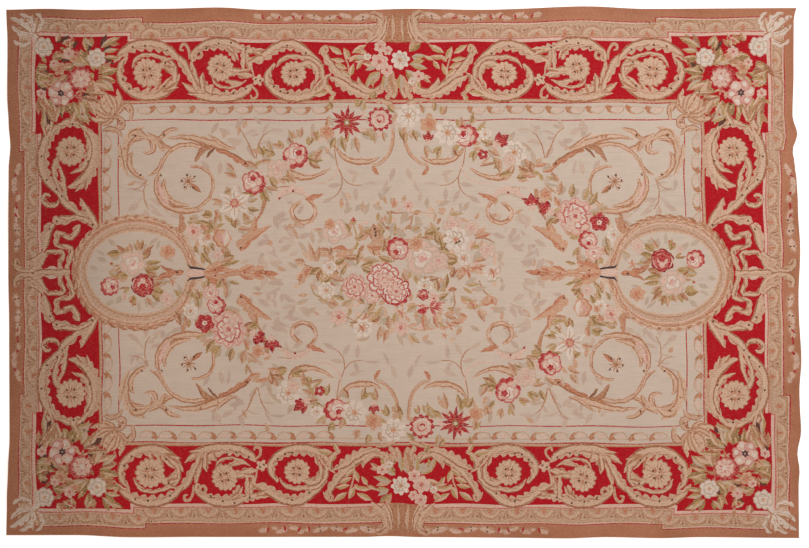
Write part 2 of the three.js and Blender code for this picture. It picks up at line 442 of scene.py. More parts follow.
# Long points of the acanthus leaves at the scrolls' ends: x, y, turn, length, width
FEATHERS = [
    (163, 92, -12, 20, 6), (164, 91, -30, 22, 7), (163, 90, -47, 19, 6), (158, 91, -62, 15, 6),
    (151, 92, -72, 12, 6), (126, 57, 168, 13, 5), (128, 54, 150, 11, 4.5), (168, 64, 15, 13, 5),
    (166, 62, -18, 14, 5), (168, 66, 48, 11, 4.5), (203, 92, -112, 18, 6), (208, 94, -92, 17, 6),
    (214, 95, -70, 13, 5.5), (200, 90, 205, 15, 5), (204, 94, 180, 14, 5), (232, 48, 35, 13, 5.5),
    (238, 50, 62, 12, 5), (256, 50, -2, 15, 5.5), (256, 51, 22, 14, 5), (250, 56, 72, 17, 5),
    (240, 73, 20, 16, 5), (242, 72, -10, 16, 5), (320, 88, -50, 13, 5), (316, 91, -75, 12, 5),
    (262, 57, 150, 12, 5), (49, 137, 250, 13, 5), (52, 133, 285, 12, 5), (90, 178, 100, 13, 5),
    (84, 182, 125, 12, 5), (60, 180, 60, 13, 5),
]
# Laurel sprays of the border: x, y, turn, length, width
LAUREL = [
    (349, 54, 212, 15, 6), (356, 60, 248, 13, 6), (358, 53, 332, 16, 6), (355, 58, 355, 16, 5),
    (351, 61, 190, 13, 5), (353, 69, 205, 13, 5.5), (355, 62, 320, 8, 4), (356, 78, 220, 12, 5),
    (355, 77, 290, 13, 5), (362, 70, 305, 11, 4.5), (334, 92, 170, 15, 6), (337, 92, 235, 9, 5),
    (339, 94, 120, 8, 5), (368, 60, 340, 9, 4),
]
SPRAY_STEMS = [
    [(356, 86, 1.6), (354.5, 76, 1.8), (354, 65, 1.6), (350, 52, 1)],
    [(341, 94, 1.4), (335, 90, 1.6), (330, 84, 1)],
]


def border(pen):
    for knots, shade, lobes in TOP_SCROLLS + LEFT_SCROLLS:
        scroll(pen, [(x, y, 1.1 * wide) for x, y, wide in knots], shade, lobes, light="ivory")
    for x, y, turn, long, wide in FEATHERS:
        pen.leaf(x, y, turn, long, 0.85 * wide, "ivory", "tan")
    for knots in CURLS:
        pen.band(knots, "sand")
    for x, y, r, turn in ROSETTES:
        rosette(pen, x, y, r, turn)
    for knots in SPRAY_STEMS:
        pen.band(knots, "sand")
    for x, y, turn, long, wide in LAUREL:
        pen.leaf(x, y, turn, 1.12 * long, 1.1 * wide, "ivory", "olive")
    # bud on its curl
    pen.lobed(263.5, 80.5, 6, 5, "ivory", depth=0.35, turn=30)
    dots(pen, BORDER_DOTS + [(261.5, 79.5), (266, 81)])


# Flowers. Each is drawn round x, y with radius r, and turned clockwise by turn degrees.
def arcs(pen, x, y, r, turn, rows, wide=1.0):
    """Edges of petals: radius as a share of r, start, end, width as a share of r, wool."""
    for share, start, end, width, wool in rows:
        pen.arc(x, y, share * r, turn + start, turn + end, width * r, wool, wide=wide)


def petals(pen, x, y, r, turn, rings, wide=1.0):
    """Rings of petals from the outside in: how many, distance, size, wool of the edges, wool of the petals.
    Distance and size are shares of r."""
    for count, out, size, edge, body in rings:
        turn += 37
        for k in range(count):
            t = math.radians(turn + 360 * k / count)
            c, d = math.cos(t), math.sin(t)
            px, py = x + out * r * c, y + out * r * wide * d
            spin = math.degrees(t) + 30 * (k % 2)
            pen.lobed(px, py, size * r, 4, edge, depth=0.14, turn=spin)
            pen.lobed(px - 0.06 * r * c, py - 0.06 * r * d, 0.83 * size * r, 4, body, depth=0.14, turn=spin)


def rose(pen, x, y, r, turn=0, tones=("pink", "blush", "white", "rose")):
    edge, body, inner, heart = tones
    petals(pen, x, y, r, turn, [(5, 0.52, 0.5, edge, body), (3, 0.27, 0.38, edge, inner)])
    pen.lobed(x, y, 0.26 * r, 4, heart, depth=0.2, turn=turn)
    pen.arc(x, y, 0.14 * r, turn, turn + 220, 0.1 * r, inner)


def faint_rose(pen, x, y, r, turn=0):
    rose(pen, x, y, r, turn, ("dusk", "blush", "white" if r > 12 else "blush", "pink"))


def rimmed_rose(pen, x, y, r, turn=0):
    """A pale rose with red edges, heaviest on the side that turn names, and a red heart on the other."""
    c, d = math.cos(math.radians(turn)), math.sin(math.radians(turn))
    pen.lobed(x + 0.12 * r * c, y + 0.12 * r * d, r, 9, "madder", depth=0.12, turn=turn)
    petals(pen, x - 0.06 * r * c, y - 0.06 * r * d, r, turn, [(5, 0.5, 0.46, "rose", "blush")])
    petals(pen, x - 0.15 * r * c, y - 0.15 * r * d, r, turn, [(3, 0.24, 0.4, "pink", "white")])
    hx, hy = x - 0.12 * r * c + 0.28 * r * d, y - 0.12 * r * d - 0.28 * r * c
    pen.lobed(hx, hy, 0.28 * r, 5, "madder", depth=0.25, turn=turn)
    arcs(pen, hx, hy, r, turn, [(0.42, 60, 200, 0.09, "rose")])


def wheel_rose(pen, x, y, r, turn=0):
    """A pale rose in a wreath of red petals, with a red turn at its heart."""
    pen.lobed(x, y, r, 11, "madder", depth=0.2, turn=turn)
    pen.lobed(x, y, 0.74 * r, 8, "blush", depth=0.1, turn=turn)
    rows = [(0.55, 20, 200, 0.1, "white"), (0.36, 190, 420, 0.15, "rose"), (0.18, 0, 200, 0.16, "madder")]
    arcs(pen, x, y, r, turn, rows)


def red_rose(pen, x, y, r, turn=0):
    petals(pen, x, y, r, turn, [(6, 0.55, 0.46, "crimson", "madder"), (4, 0.3, 0.38, "rose", "madder")])
    rows = [(0.8, 150, 230, 0.12, "blush"), (0.76, 300, 380, 0.12, "pink"), (0.82, 40, 110, 0.1, "rose")]
    arcs(pen, x, y, r, turn, rows)
    petals(pen, x, y - 0.15 * r, r, turn, [(3, 0.2, 0.28, "pink", "blush")])
    pen.lobed(x, y + 0.14 * r, 0.3 * r, 5, "madder", depth=0.15, turn=turn)


def peony(pen, x, y, r, turn=0, wide=1.0, edge="rose", outer="pink", body="blush"):
    """A full flower of ruffled pale petals with red edges, and a hatched heart."""
    rings = [(8, 0.7, 0.36, outer, body), (6, 0.42, 0.34, edge, "white"), (4, 0.2, 0.28, "pink", "blush")]
    petals(pen, x, y, r, turn, rings, wide)
    for k in range(18):
        t = math.radians(turn + 20 * k)
        foot = (0.62 if k % 2 else 0.3) * r
        px, py = x + foot * math.cos(t), y + foot * wide * math.sin(t)
        pen.leaf(px, py, turn + 20 * k + 12, 0.32 * r, 0.07 * r, edge)
    pen.lobed(x, y, 0.15 * r, 4, edge, depth=0.3, turn=turn, wide=wide)


def carnation(pen, x, y, r, turn=0):
    """A pale ruffled head that lies in a half ring of red petals on the side away from turn."""
    c, d = math.cos(math.radians(turn)), math.sin(math.radians(turn))
    pen.lobed(x, y, r, 9, "madder", depth=0.12, turn=turn)
    pen.lobed(x + 0.12 * r * c, y + 0.12 * r * d, 0.86 * r, 9, "rose", depth=0.12, turn=turn)
    pen.lobed(x + 0.18 * r * c, y + 0.18 * r * d, 0.74 * r, 9, "blush", depth=0.16, turn=turn)
    for k in range(9):
        t = math.radians(turn + 40 * k)
        foot = (0.3 if k % 2 else 0.12) * r
        px, py = x + 0.18 * r * c + foot * math.cos(t), y + 0.18 * r * d + foot * math.sin(t)
        pen.leaf(px, py, turn + 40 * k, 0.4 * r, 0.13 * r, "rose" if k % 3 == 0 else "pink")
    pen.lobed(x + 0.2 * r * c, y + 0.2 * r * d, 0.2 * r, 5, "white", depth=0.2)


def snowball(pen, x, y, r, turn=0):
    """A full white head of ruffled petals."""
    petals(pen, x, y, r, turn, [(7, 0.62, 0.37, "dusk", "white"), (5, 0.3, 0.33, "sage", "white")])
    pen.lobed(x, y, 0.2 * r, 4, "peach", depth=0.25, turn=turn)


def round_flower(pen, x, y, r, turn=0, petal="white", line="sage", heart="peach", petals=8):
    """A flat open flower: petals of two lengths, lines between them and a small heart."""
    pen.lobed(x, y, r, petals, petal, depth=0.24, turn=turn)
    pen.lobed(x + 0.05 * r, y - 0.05 * r, 0.62 * r, petals - 2, line, depth=0.2, turn=turn + 17)
    pen.lobed(x, y, 0.56 * r, petals - 2, petal, depth=0.2, turn=turn + 17)
    for k in range(petals):
        t = math.radians(turn + 360 * k / petals)
        c, d = math.cos(t), math.sin(t)
        foot, side = 0.28 * r, 0.06 * r
        pen.patch([(x + foot * c - side * d, y + foot * d + side * c), (x + 0.9 * r * c, y + 0.9 * r * d),
                   (x + foot * c + side * d, y + foot * d - side * c)], line, exact=True)
    pen.lobed(x, y, 0.27 * r, 5, heart, depth=0.2, turn=turn)
    pen.blob(x - 0.05 * r, y, 0.12 * r, "coral", sides=5)


def white_flower(pen, x, y, r, turn=0):
    round_flower(pen, x, y, r, turn)


def pink_flower(pen, x, y, r, turn=0):
    round_flower(pen, x, y, r, turn, "blush", "pink", "rose", 6)


def coral_flower(pen, x, y, r, turn=0):
    round_flower(pen, x, y, r, turn, "peach", "coral", "coral", 6)
    pen.lobed(x, y, 0.45 * r, 5, "coral", depth=0.4, turn=turn)


def red_flower(pen, x, y, r, turn=0):
    round_flower(pen, x, y, r, turn, "madder", "crimson", "white", 5)


def red_tuft(pen, x, y, r, turn=0):
    """A half-open red flower seen from the side."""
    c, d = math.cos(math.radians(turn)), math.sin(math.radians(turn))
    for k, long in ((-42, 0.95), (0, 1.15), (42, 0.95)):
        pen.leaf(x, y, turn + k, long * r, 0.62 * r, "madder", "crimson")
    pen.lobed(x + 0.3 * r * c, y + 0.3 * r * d, 0.42 * r, 6, "madder", depth=0.25, turn=turn)
    pen.lobed(x - 0.12 * r * c, y - 0.12 * r * d, 0.36 * r, 5, "blush", depth=0.3, turn=turn)
    arcs(pen, x - 0.1 * r * c, y - 0.1 * r * d, r, turn, [(0.22, -70, 70, 0.1, "rose")])


def star(pen, x, y, r, turn=0, petals=12, wool="madder", edge="blush"):
    for k in range(petals):
        a = turn + 360 * k / petals
        long = r * (1.08 if k % 2 else 0.86)
        pen.leaf(x, y, a + 15, 0.78 * long, 0.12 * r, edge)
        pen.leaf(x, y, a, long, 0.27 * r, wool, "crimson" if k % 3 == 0 else None)
    pen.lobed(x, y, 0.22 * r, 6, "moss", depth=0.2)
    pen.blob(x, y, 0.1 * r, "white")


def lily(pen, x, y, r, turn=0):
    for k in range(6):
        a = turn + 60 * k
        pen.leaf(x, y, a, r, 0.42 * r, "white")
        pen.leaf(x, y, a - 3, 0.8 * r, 0.09 * r, "sage")
        pen.leaf(x, y, a + 30, 0.6 * r, 0.2 * r, "ivory")
    pen.lobed(x, y, 0.27 * r, 8, "rose", depth=0.3)
    pen.blob(x, y, 0.14 * r, "peach")


def anemone(pen, x, y, r, turn=0):
    for k in range(6):
        a = math.radians(turn + 60 * k)
        px, py = x + 0.58 * r * math.cos(a), y + 0.58 * r * math.sin(a)
        pen.lobed(px, py, 0.46 * r, 4, "rose", depth=0.15, turn=30 * k)
        pen.lobed(px, py, 0.41 * r, 4, "blush" if k % 2 else "pink", depth=0.15, turn=30 * k)
        pen.blob(px + 0.1 * r * math.cos(a), py + 0.1 * r * math.sin(a), 0.2 * r, "white", sides=6)
        pen.leaf(x, y, turn + 60 * k + 30, 0.7 * r, 0.08 * r, "rose")
    pen.lobed(x, y, 0.27 * r, 6, "navy", depth=0.35)
    pen.blob(x, y, 0.1 * r, "fawn", sides=5)


def tulip(pen, x, y, r, turn=0):
    """A round cup seen from the side, opening along turn: a coral petal, a pale one and a white one."""
    c, d = math.cos(math.radians(turn)), math.sin(math.radians(turn))
    x, y = x + 0.7 * r * c, y + 0.7 * r * d
    pen.lobed(x + 0.1 * r * d, y - 0.1 * r * c, 0.85 * r, 6, "coral", depth=0.14, turn=turn)
    pen.lobed(x, y, 0.76 * r, 6, "peach", depth=0.14, turn=turn)
    pen.leaf(x - 0.7 * r * c, y - 0.7 * r * d, turn + 14, 1.5 * r, 0.8 * r, "blush", "white")
    pen.leaf(x - 0.6 * r * c, y - 0.6 * r * d, turn - 22, 1.3 * r, 0.34 * r, "pink")


def bud(pen, x, y, r, turn=0):
    pen.leaf(x, y, turn, 1.8 * r, 1.1 * r, "rose", "madder")
    pen.leaf(x, y, turn - 28, 1.3 * r, 0.5 * r, "olive")
    pen.leaf(x, y, turn + 28, 1.3 * r, 0.5 * r, "olive")


def sprig(pen, x, y, r, turn=0):
    """A small star of orange petals."""
    for k in range(5):
        pen.leaf(x, y, turn + 72 * k, r, 0.42 * r, "coral" if k % 2 else "peach")
    pen.blob(x, y, 0.18 * r, "rose", sides=6)


FLOWERS = {
    "rose": rose, "faint": faint_rose, "rimmed": rimmed_rose, "wheel": wheel_rose, "red rose": red_rose,
    "peony": peony, "carnation": carnation, "snowball": snowball,
    "white": white_flower, "pink": pink_flower, "coral": coral_flower, "red": red_flower, "tuft": red_tuft,
    "star": star, "lily": lily, "anemone": anemone, "tulip": tulip, "bud": bud, "sprig": sprig,
}
# Leaf wools: body, shaded half
LEAVES = {
    "olive": ("olive", "moss"), "pale": ("sage", "olive"), "sage": ("sage", None), "tan": ("sand", "fawn"),
    "brown": ("fawn", "brown"), "coral": ("peach", "coral"), "cream": ("ivory", "fawn"),
    "moss": ("olive", "brown"),
}


def plant(pen, flowers, leaves, stems=(), under=("sage", "sand", "olive"), light=None):
    """A bunch: stems, then leaves, each over one in a wool of under and with a light streak, then flowers."""
    for wool, *knots in stems:
        pen.band(knots, wool)
    for x, y, turn, long, wide, kind in leaves:
        if kind != "sage":
            pen.leaf(x, y, turn + random.choice((-30, 30)), long, wide, random.choice(under))
    for x, y, turn, long, wide, kind in leaves:
        body, shade = LEAVES[kind]
        pen.leaf(x, y, turn, 1.2 * long, 1.05 * wide, body, shade)
        if light:
            streak = [(0.2 * long, 0), (0.6 * long, -0.34 * wide), (1.05 * long, -0.05 * wide)]
            pen.at(x, y, turn).patch(streak, light, exact=True)
    for kind, x, y, r, turn in flowers:
        FLOWERS[kind](pen, x, y, r, turn)


def drift(pen, count, route, spread, wools):
    """Faint leaves scattered about a route."""
    places = evenly(flow(route, 4), count)
    for x, y in places:
        x, y = x + random.gauss(0, spread), y + random.gauss(0, spread)
        turn, long, wide = random.uniform(0, 360), random.uniform(8, 13), random.uniform(3.5, 5.5)
        pen.leaf(x, y, turn, long, wide, random.choice(wools))


# Corner bunch, one quarter. Leaves: x, y, turn, length, width, kind. Flowers: kind, x, y, radius, turn
CORNER_LEAVES = [
    (58, 42, -60, 9, 6, "cream"), (64, 44, -20, 12, 6, "cream"), (72, 49, -75, 13, 5, "cream"),
    (66, 50, 10, 11, 4, "cream"), (86, 62, -100, 12, 8, "olive"), (88, 60, 165, 14, 9, "olive"),
    (89, 64, 195, 13, 8, "pale"), (90, 52, -100, 14, 6, "olive"), (96, 46, -130, 11, 5, "pale"),
    (92, 66, 230, 14, 7, "olive"), (104, 48, -35, 16, 6, "pale"), (106, 52, -8, 14, 5, "pale"),
    (106, 57, 5, 14, 5, "olive"), (103, 66, 30, 13, 6, "olive"), (112, 44, -28, 12, 5, "olive"),
    (101, 74, -12, 18, 8, "olive"), (101, 76, 16, 16, 6, "moss"), (100, 70, -60, 10, 4, "brown"),
    (104, 80, 40, 15, 7, "pale"), (96, 84, 20, 16, 7, "cream"), (92, 82, 50, 18, 8, "cream"),
    (96, 80, 80, 17, 7, "cream"), (88, 93, 5, 18, 5, "moss"), (84, 97, 8, 16, 5, "brown"),
    (84, 99, 40, 14, 7, "pale"), (82, 101, 70, 14, 7, "cream"), (84, 104, 100, 12, 6, "pale"),
    (90, 100, 60, 16, 7, "cream"), (70, 104, 60, 13, 8, "olive"), (76, 102, 80, 15, 8, "olive"),
    (66, 104, 100, 10, 6, "olive"), (42, 62, 95, 20, 6, "olive"), (44, 78, -20, 12, 6, "olive"),
    (53, 76, 200, 14, 7, "moss"), (50, 66, 180, 9, 5, "pale"), (54, 58, -10, 12, 6, "olive"),
    (52, 64, 20, 9, 5, "pale"), (40, 84, 0, 12, 6, "pale"), (54, 80, 175, 13, 6, "pale"),
    (44, 92, 70, 14, 6, "cream"), (40, 99, 60, 16, 6, "brown"), (46, 100, 50, 14, 6, "cream"),
    (52, 98, 70, 16, 6, "pale"), (44, 106, 80, 16, 5, "brown"), (48, 108, 65, 14, 5, "moss"),
    (46, 112, 95, 15, 6, "pale"), (56, 104, 85, 16, 7, "cream"), (62, 106, 110, 14, 5, "cream"),
    (78, 112, 120, 12, 5, "cream"), (86, 112, 70, 12, 5, "pale"), (78, 116, 20, 14, 6, "pale"),
    (74, 58, 200, 12, 6, "tan"), (76, 64, 170, 10, 6, "tan"), (70, 74, 150, 12, 6, "tan"),
    (60, 76, 120, 10, 5, "pale"),
]
# The course about which the corner's dark leaves are scattered: x, y
CORNER_ROUTE = [
    (50, 60), (70, 52), (92, 60), (108, 62), (98, 80), (76, 66), (56, 78), (46, 100), (62, 110), (84, 104),
    (94, 92),
]
CORNER_FLOWERS = [
    ("pink", 71, 53, 6, 0), ("coral", 62, 68, 7, 30), ("pink", 56, 63, 4.5, 0), ("coral", 76, 58, 4.5, 0),
    ("snowball", 45.5, 47.5, 10.5, 10), ("snowball", 99, 58, 10.5, 40), ("bud", 68, 46, 4, 300),
    ("bud", 76, 44, 4, 250), ("sprig", 84, 91, 6, 10), ("sprig", 50, 84, 5, 0),
    ("carnation", 82, 78, 12.5, 25), ("anemone", 64, 93, 13.5, 10), ("pink", 44, 93, 5, 0),
]


# Curls where the shell meets the field, and the one over its foot: knots of x, y, width
SHELL_CURLS = [
    [(104, 131, 1), (112, 129, 7), (121, 131, 5), (125, 137, 1)],
    [(124, 108, 2), (131, 105, 7), (135, 112, 6), (134, 121, 2)],
]
SHELL_FOOT = [(116, 118, 3), (121, 117, 5), (126, 120, 5), (126.5, 126, 5), (121, 128, 4), (119, 124, 2)]
# Curled leaves over the frame's corner: knots of x, y, width; the shaded side; lobes
CORNER_CURLS = [
    ([(39, 33, 2), (43, 26, 6), (43, 18, 6), (38, 14, 2)], 1, 3),
    ([(33, 39, 2), (28, 44, 6), (20, 44, 6), (15, 40, 2)], -1, 3),
    ([(36, 32, 3), (34, 24, 8), (29, 17, 7), (22, 14, 2)], 1, 3),
    ([(33, 35, 3), (26, 34, 8), (19, 31, 7), (14, 25, 2)], -1, 3),
    ([(35, 34, 3), (28, 27, 8), (21, 21, 8), (13, 17, 2)], 1, 4),
    ([(33, 33, 2), (37, 37, 7), (41, 41, 3)], 1, 2),
]


def fan(pen, x, y, r, turn, spread, leaves):
    """Acanthus leaves that open like a shell, with dark gaps between them."""
    for k in sorted(range(leaves), key=lambda k: -abs(2 * k - leaves + 1)):
        share = 2 * k / (leaves - 1) - 1
        long = r * (1 - 0.18 * share * share) * (1.08 if k % 2 else 0.82)
        leaf = pen.at(x, y, turn + spread * share, flip=share > 0)
        knots = [(0, 0, 2), (0.35 * long, 0, 0.36 * r), (0.7 * long, 0, 0.28 * r), (long, 0.14 * long, 0.3)]
        scroll(leaf, knots, 1, 4, ("ivory", "tan", "fawn"), seam=0.6)
        leaf.patch([(0.2 * long, 0.05 * r), (0.8 * long, 0.15 * r), (0.25 * long, 0.13 * r)], "tan")


def corner(pen):
    fan(pen, 118, 115, 27, 225, 78, 9)
    for knots in SHELL_CURLS:
        scroll(pen, knots)
    drift(pen, 30, CORNER_ROUTE, 6, ("fawn", "brown", "olive", "sand", "moss", "rose", "tan"))
    plant(pen, CORNER_FLOWERS, CORNER_LEAVES, (), ("brown", "umber", "moss", "fawn", "tan"), "ivory")
    scroll(pen, SHELL_FOOT)
    dots(pen, [(114, 113), (118.5, 113.5), (116.5, 118), (121, 120.5)], "brown")
    # a spray of leaves over the frame's corner, and curled leaves over it
    for k in range(7):
        pen.leaf(36, 35, 172 + 19 * k, 21 if k % 2 else 17, 8, "ivory", "biscuit")
    for knots, shade, lobes in CORNER_CURLS:
        scroll(pen, knots, shade, lobes, ("white", "tan", "fawn"), 0.55)


# Ornament in the outer band: blobs of x, y, radius, width share; joints between them are red
BAND_TOP = [
    (265, 16, 4.5, 0.6), (276, 17.5, 3, 0.6), (283, 15.5, 5.5, 0.45), (295, 18.5, 5, 0.45),
    (302, 15.5, 3.5, 0.7), (308, 17, 3, 0.7), (320.5, 17.5, 7.5, 0.36), (337, 17.5, 6.5, 0.36),
    (352, 15.5, 6, 0.4), (368, 16.5, 8, 0.42), (380, 16, 4, 0.7),
]
BAND_SIDE = [
    (20, 167, 3.2, 0.8), (18, 172, 3.2, 0.8), (14.5, 183, 5.5, 0.5), (15, 190, 4.5, 0.6),
    (19, 199, 3.4, 0.7), (17.5, 213, 4, 0.6), (18.5, 219, 4, 0.7), (18.5, 230, 6.5, 0.5),
    (18, 246, 6.5, 0.45),
]


# Red flecks in the joints: x, y, turn, length, width
BAND_FLECKS = [
    (268, 13, 70, 7, 2.6), (287, 14, 110, 7, 2.6), (299, 14, 70, 7, 2.6), (310, 14, 100, 7, 2.6),
    (343, 16, 20, 7, 2.6), (17, 173, 120, 6, 2.4), (16, 191, 60, 6, 2.4), (18, 202, 100, 6, 2.4),
    (16, 213, 60, 6, 2.4), (17, 205, 80, 6, 2.4),
]
BAND_DOTS = [
    (320.5, 15.8), (320.5, 19.6), (336.5, 16), (336.5, 19.6), (369, 15.8), (369, 18.4),
    (17, 231), (20, 231), (16.5, 247), (19.8, 247), (20, 220),
]


def outer_band(pen):
    for row, turn in ((BAND_TOP, 0), (BAND_SIDE, 90)):
        for k, (x, y, r, wide) in enumerate(row):
            lean = turn + (-14 if k % 2 else 14)
            pen.blob(x, y, 1.3 * r, "biscuit", wide=1.1 * wide, turn=lean)
            pen.blob(x, y - 0.6, 1.05 * r, "blush", wide=0.8 * wide, turn=lean)
            pen.blob(x, y - 0.2, 0.55 * r, "ivory", wide=0.6 * wide, turn=lean)
    for x, y, turn, long, wide in BAND_FLECKS:
        pen.leaf(x, y, turn, long, wide, "madder")
    dots(pen, BAND_DOTS, r=1.1)


# Calyxes over the middle of each side: knots of x, y, width; the shaded side; lobes
TOP_CALYX = [
    ([(381, 15, 3), (386, 22, 8), (384, 31, 9), (378, 38, 7), (373, 43, 2)], 1, 0),
    ([(392, 16, 3), (391, 25, 6), (388, 34, 7), (384, 42, 2)], 1, 0),
    ([(375, 14, 1), (381, 12.5, 5), (387, 15, 5), (389, 20, 3)], -1, 0),
]
SIDE_CALYX = [
    ([(17, 259, 6), (17, 266, 8), (22, 270, 8), (32, 270, 7), (40, 265, 8), (46, 256, 4), (50, 250, 1)],
      -1, 0),
    ([(26, 257, 1), (30, 262, 7), (38, 260, 8), (46, 252, 4)], 1, 4),
    ([(36, 272, 8), (48, 272.5, 9), (60, 272.5, 7), (71, 273, 8)], -1, 0),
]


# The vase over the middle of the long side: its outline, and its leaves as x, y, turn, length, width, wool
VASE = [(404, 14), (391, 15), (393, 28), (386, 42), (404, 43)]
VASE_LEAVES = [(399, 15, 92, 27, 6, "shell"), (394, 16, 102, 29, 7, "ivory"), (389, 18, 116, 27, 7, "ivory")]
# Scrolls at the foot of the bunch in the middle
FOOT_SCROLLS = [
    ([(390, 80, 4), (394, 86, 9), (394, 94, 8), (391, 100, 3)], 1, 3),
    ([(397, 84, 3), (400, 90, 7), (398, 98, 4)], 1, 0),
    ([(377, 100, 2), (386, 101, 6), (396, 104, 6)], 1, 0),
]


def calyxes(pen):
    pen.patch(VASE, "tan")
    for x, y, turn, long, wide, body in VASE_LEAVES:
        pen.leaf(x, y, turn, long, wide, body, "tan")
    for knots, shade, lobes in TOP_CALYX + SIDE_CALYX:
        scroll(pen, knots, shade, lobes, light="ivory")
    pen.leaf(47, 268.6, -3, 12, 4.2, "blush")
    dots(pen, [(46, 268.8)], "brown")
    for knots, shade, lobes in FOOT_SCROLLS:
        scroll(pen, knots, shade, lobes)
    dots(pen, [(395, 84)], "brown")


# Bunch over the middle of the long sides, drawn for the top and turned round for the bottom.
# Its columns, and those of the bunches below, are the same as for the corner bunch.
MIDDLE_LEAVES = [
    (392, 72, 100, 16, 6, "pale"), (384, 66, 190, 14, 6, "cream"), (386, 72, 150, 14, 6, "pale"),
    (376, 76, 110, 12, 5, "pale"), (372, 60, 170, 10, 4, "cream"), (374, 54, 220, 9, 4, "cream"),
    (416, 52, -40, 13, 6, "olive"), (418, 56, 0, 13, 5, "pale"), (416, 64, 15, 16, 6, "pale"),
    (412, 70, 60, 14, 6, "olive"), (406, 74, 90, 14, 6, "pale"), (400, 72, 110, 14, 7, "tan"),
    (422, 78, 100, 12, 5, "cream"), (428, 76, 40, 10, 4, "cream"), (418, 84, 80, 9, 4, "cream"),
    (398, 78, 80, 14, 8, "tan"),
]
MIDDLE_FLOWERS = [
    ("pink", 387, 47, 6.5, 0), ("pink", 394, 51, 5, 20), ("pink", 386, 62, 9, 10), ("pink", 393, 70, 7, 0),
    ("white", 374, 57, 4, 0), ("pink", 425, 76, 6, 0), ("white", 418, 81, 4, 0),
    ("white", 407, 60, 9.5, 15),
]

# Scrolls of the field, one quarter. Their tones: body, fold, dark edge
PALE = ("ivory", "dusk", "fawn")
WARM = ("ivory", "blush", "tan")
RUSSET = ("coral", "peach", "brown")
FIELD_STEMS = [
    # wool, then knots of x, y, width
    ("fawn", (239, 127, 1), (246, 133, 1.4), (253, 145, 1.6), (259, 158, 1.6)),
    ("fawn", (272, 132, 1), (266, 137, 1.4), (262, 147, 1.5), (260, 158, 1.6)),
    ("fawn", (150, 179, 1.4), (147, 190, 1.4), (148, 202, 1.4), (152, 210, 1)),
    ("fawn", (149, 180, 1.4), (144, 187, 1.2), (136, 190, 1)),
    ("fawn", (338, 145, 1.5), (340, 163, 1.6), (346, 178, 1.6), (344, 190, 1.5), (337, 198, 1)),
    ("fawn", (346, 177, 1.4), (354, 184, 1.4), (366, 185.5, 1)),
    ("peach", (398, 126, 3), (397.5, 140, 3.4), (394, 152, 3.4), (386, 161, 3.2), (376, 165, 1.6)),
    ("fawn", (399.5, 126, 1), (399.2, 141, 1.2), (395.5, 153, 1.2), (387, 163, 1), (376, 167, 0.8)),
    ("fawn", (278, 188, 1), (290, 187, 1.4), (302, 189, 1.4), (312, 195, 1.2)),
    ("fawn", (268, 189, 5), (267, 202, 5.5), (264, 213, 4), (259, 221, 3)),
    ("blush", (342, 158, 1), (341, 171, 2), (333, 181, 2.4), (321, 184, 2), (312, 183, 1)),
]
FIELD_SAGE = [
    # faint leaves: x, y, turn, length, width
    (131, 176, 20, 14, 5), (129, 190, 8, 16, 5), (137, 183, 10, 13, 4), (147, 196, 140, 14, 5),
    (149, 203, 40, 14, 5), (148, 208, 90, 12, 5), (152, 198, 20, 12, 4), (153, 210, 25, 12, 4),
    (142, 204, 150, 12, 5), (215, 134, -60, 12, 5), (222, 128, 30, 12, 5), (230, 140, 10, 12, 5),
    (240, 130, -70, 11, 5), (247, 136, -20, 13, 5), (251, 145, 60, 12, 5), (246, 140, 140, 12, 5),
    (266, 136, -60, 13, 5), (262, 145, -10, 13, 5), (271, 131, 0, 14, 5), (365, 185, -3, 14, 5),
    (359, 187, 85, 12, 4.5), (345, 190, 60, 12, 4.5), (338, 196, 150, 12, 4.5), (345, 184, 170, 11, 4.5),
    (391, 179, 115, 13, 5.5), (398, 168, 110, 12, 5), (356, 184, -70, 10, 4), (350, 170, 20, 12, 4.5),
    (278, 228, -35, 14, 6), (283, 238, 20, 13, 6), (276, 246, 100, 13, 6), (290, 228, 60, 12, 5),
    (272, 240, 150, 12, 5), (268, 252, 30, 13, 6), (282, 252, -30, 12, 5), (262, 258, 60, 12, 6),
    (288, 214, 150, 12, 5), (276, 216, 70, 12, 5), (300, 238, -20, 12, 5), (270, 262, 20, 12, 5),
    (286, 262, 170, 12, 5), (172, 214, 20, 12, 5), (166, 204, 60, 10, 4), (205, 160, 60, 12, 5),
    (228, 160, 80, 14, 6), (222, 176, -80, 12, 5),
]
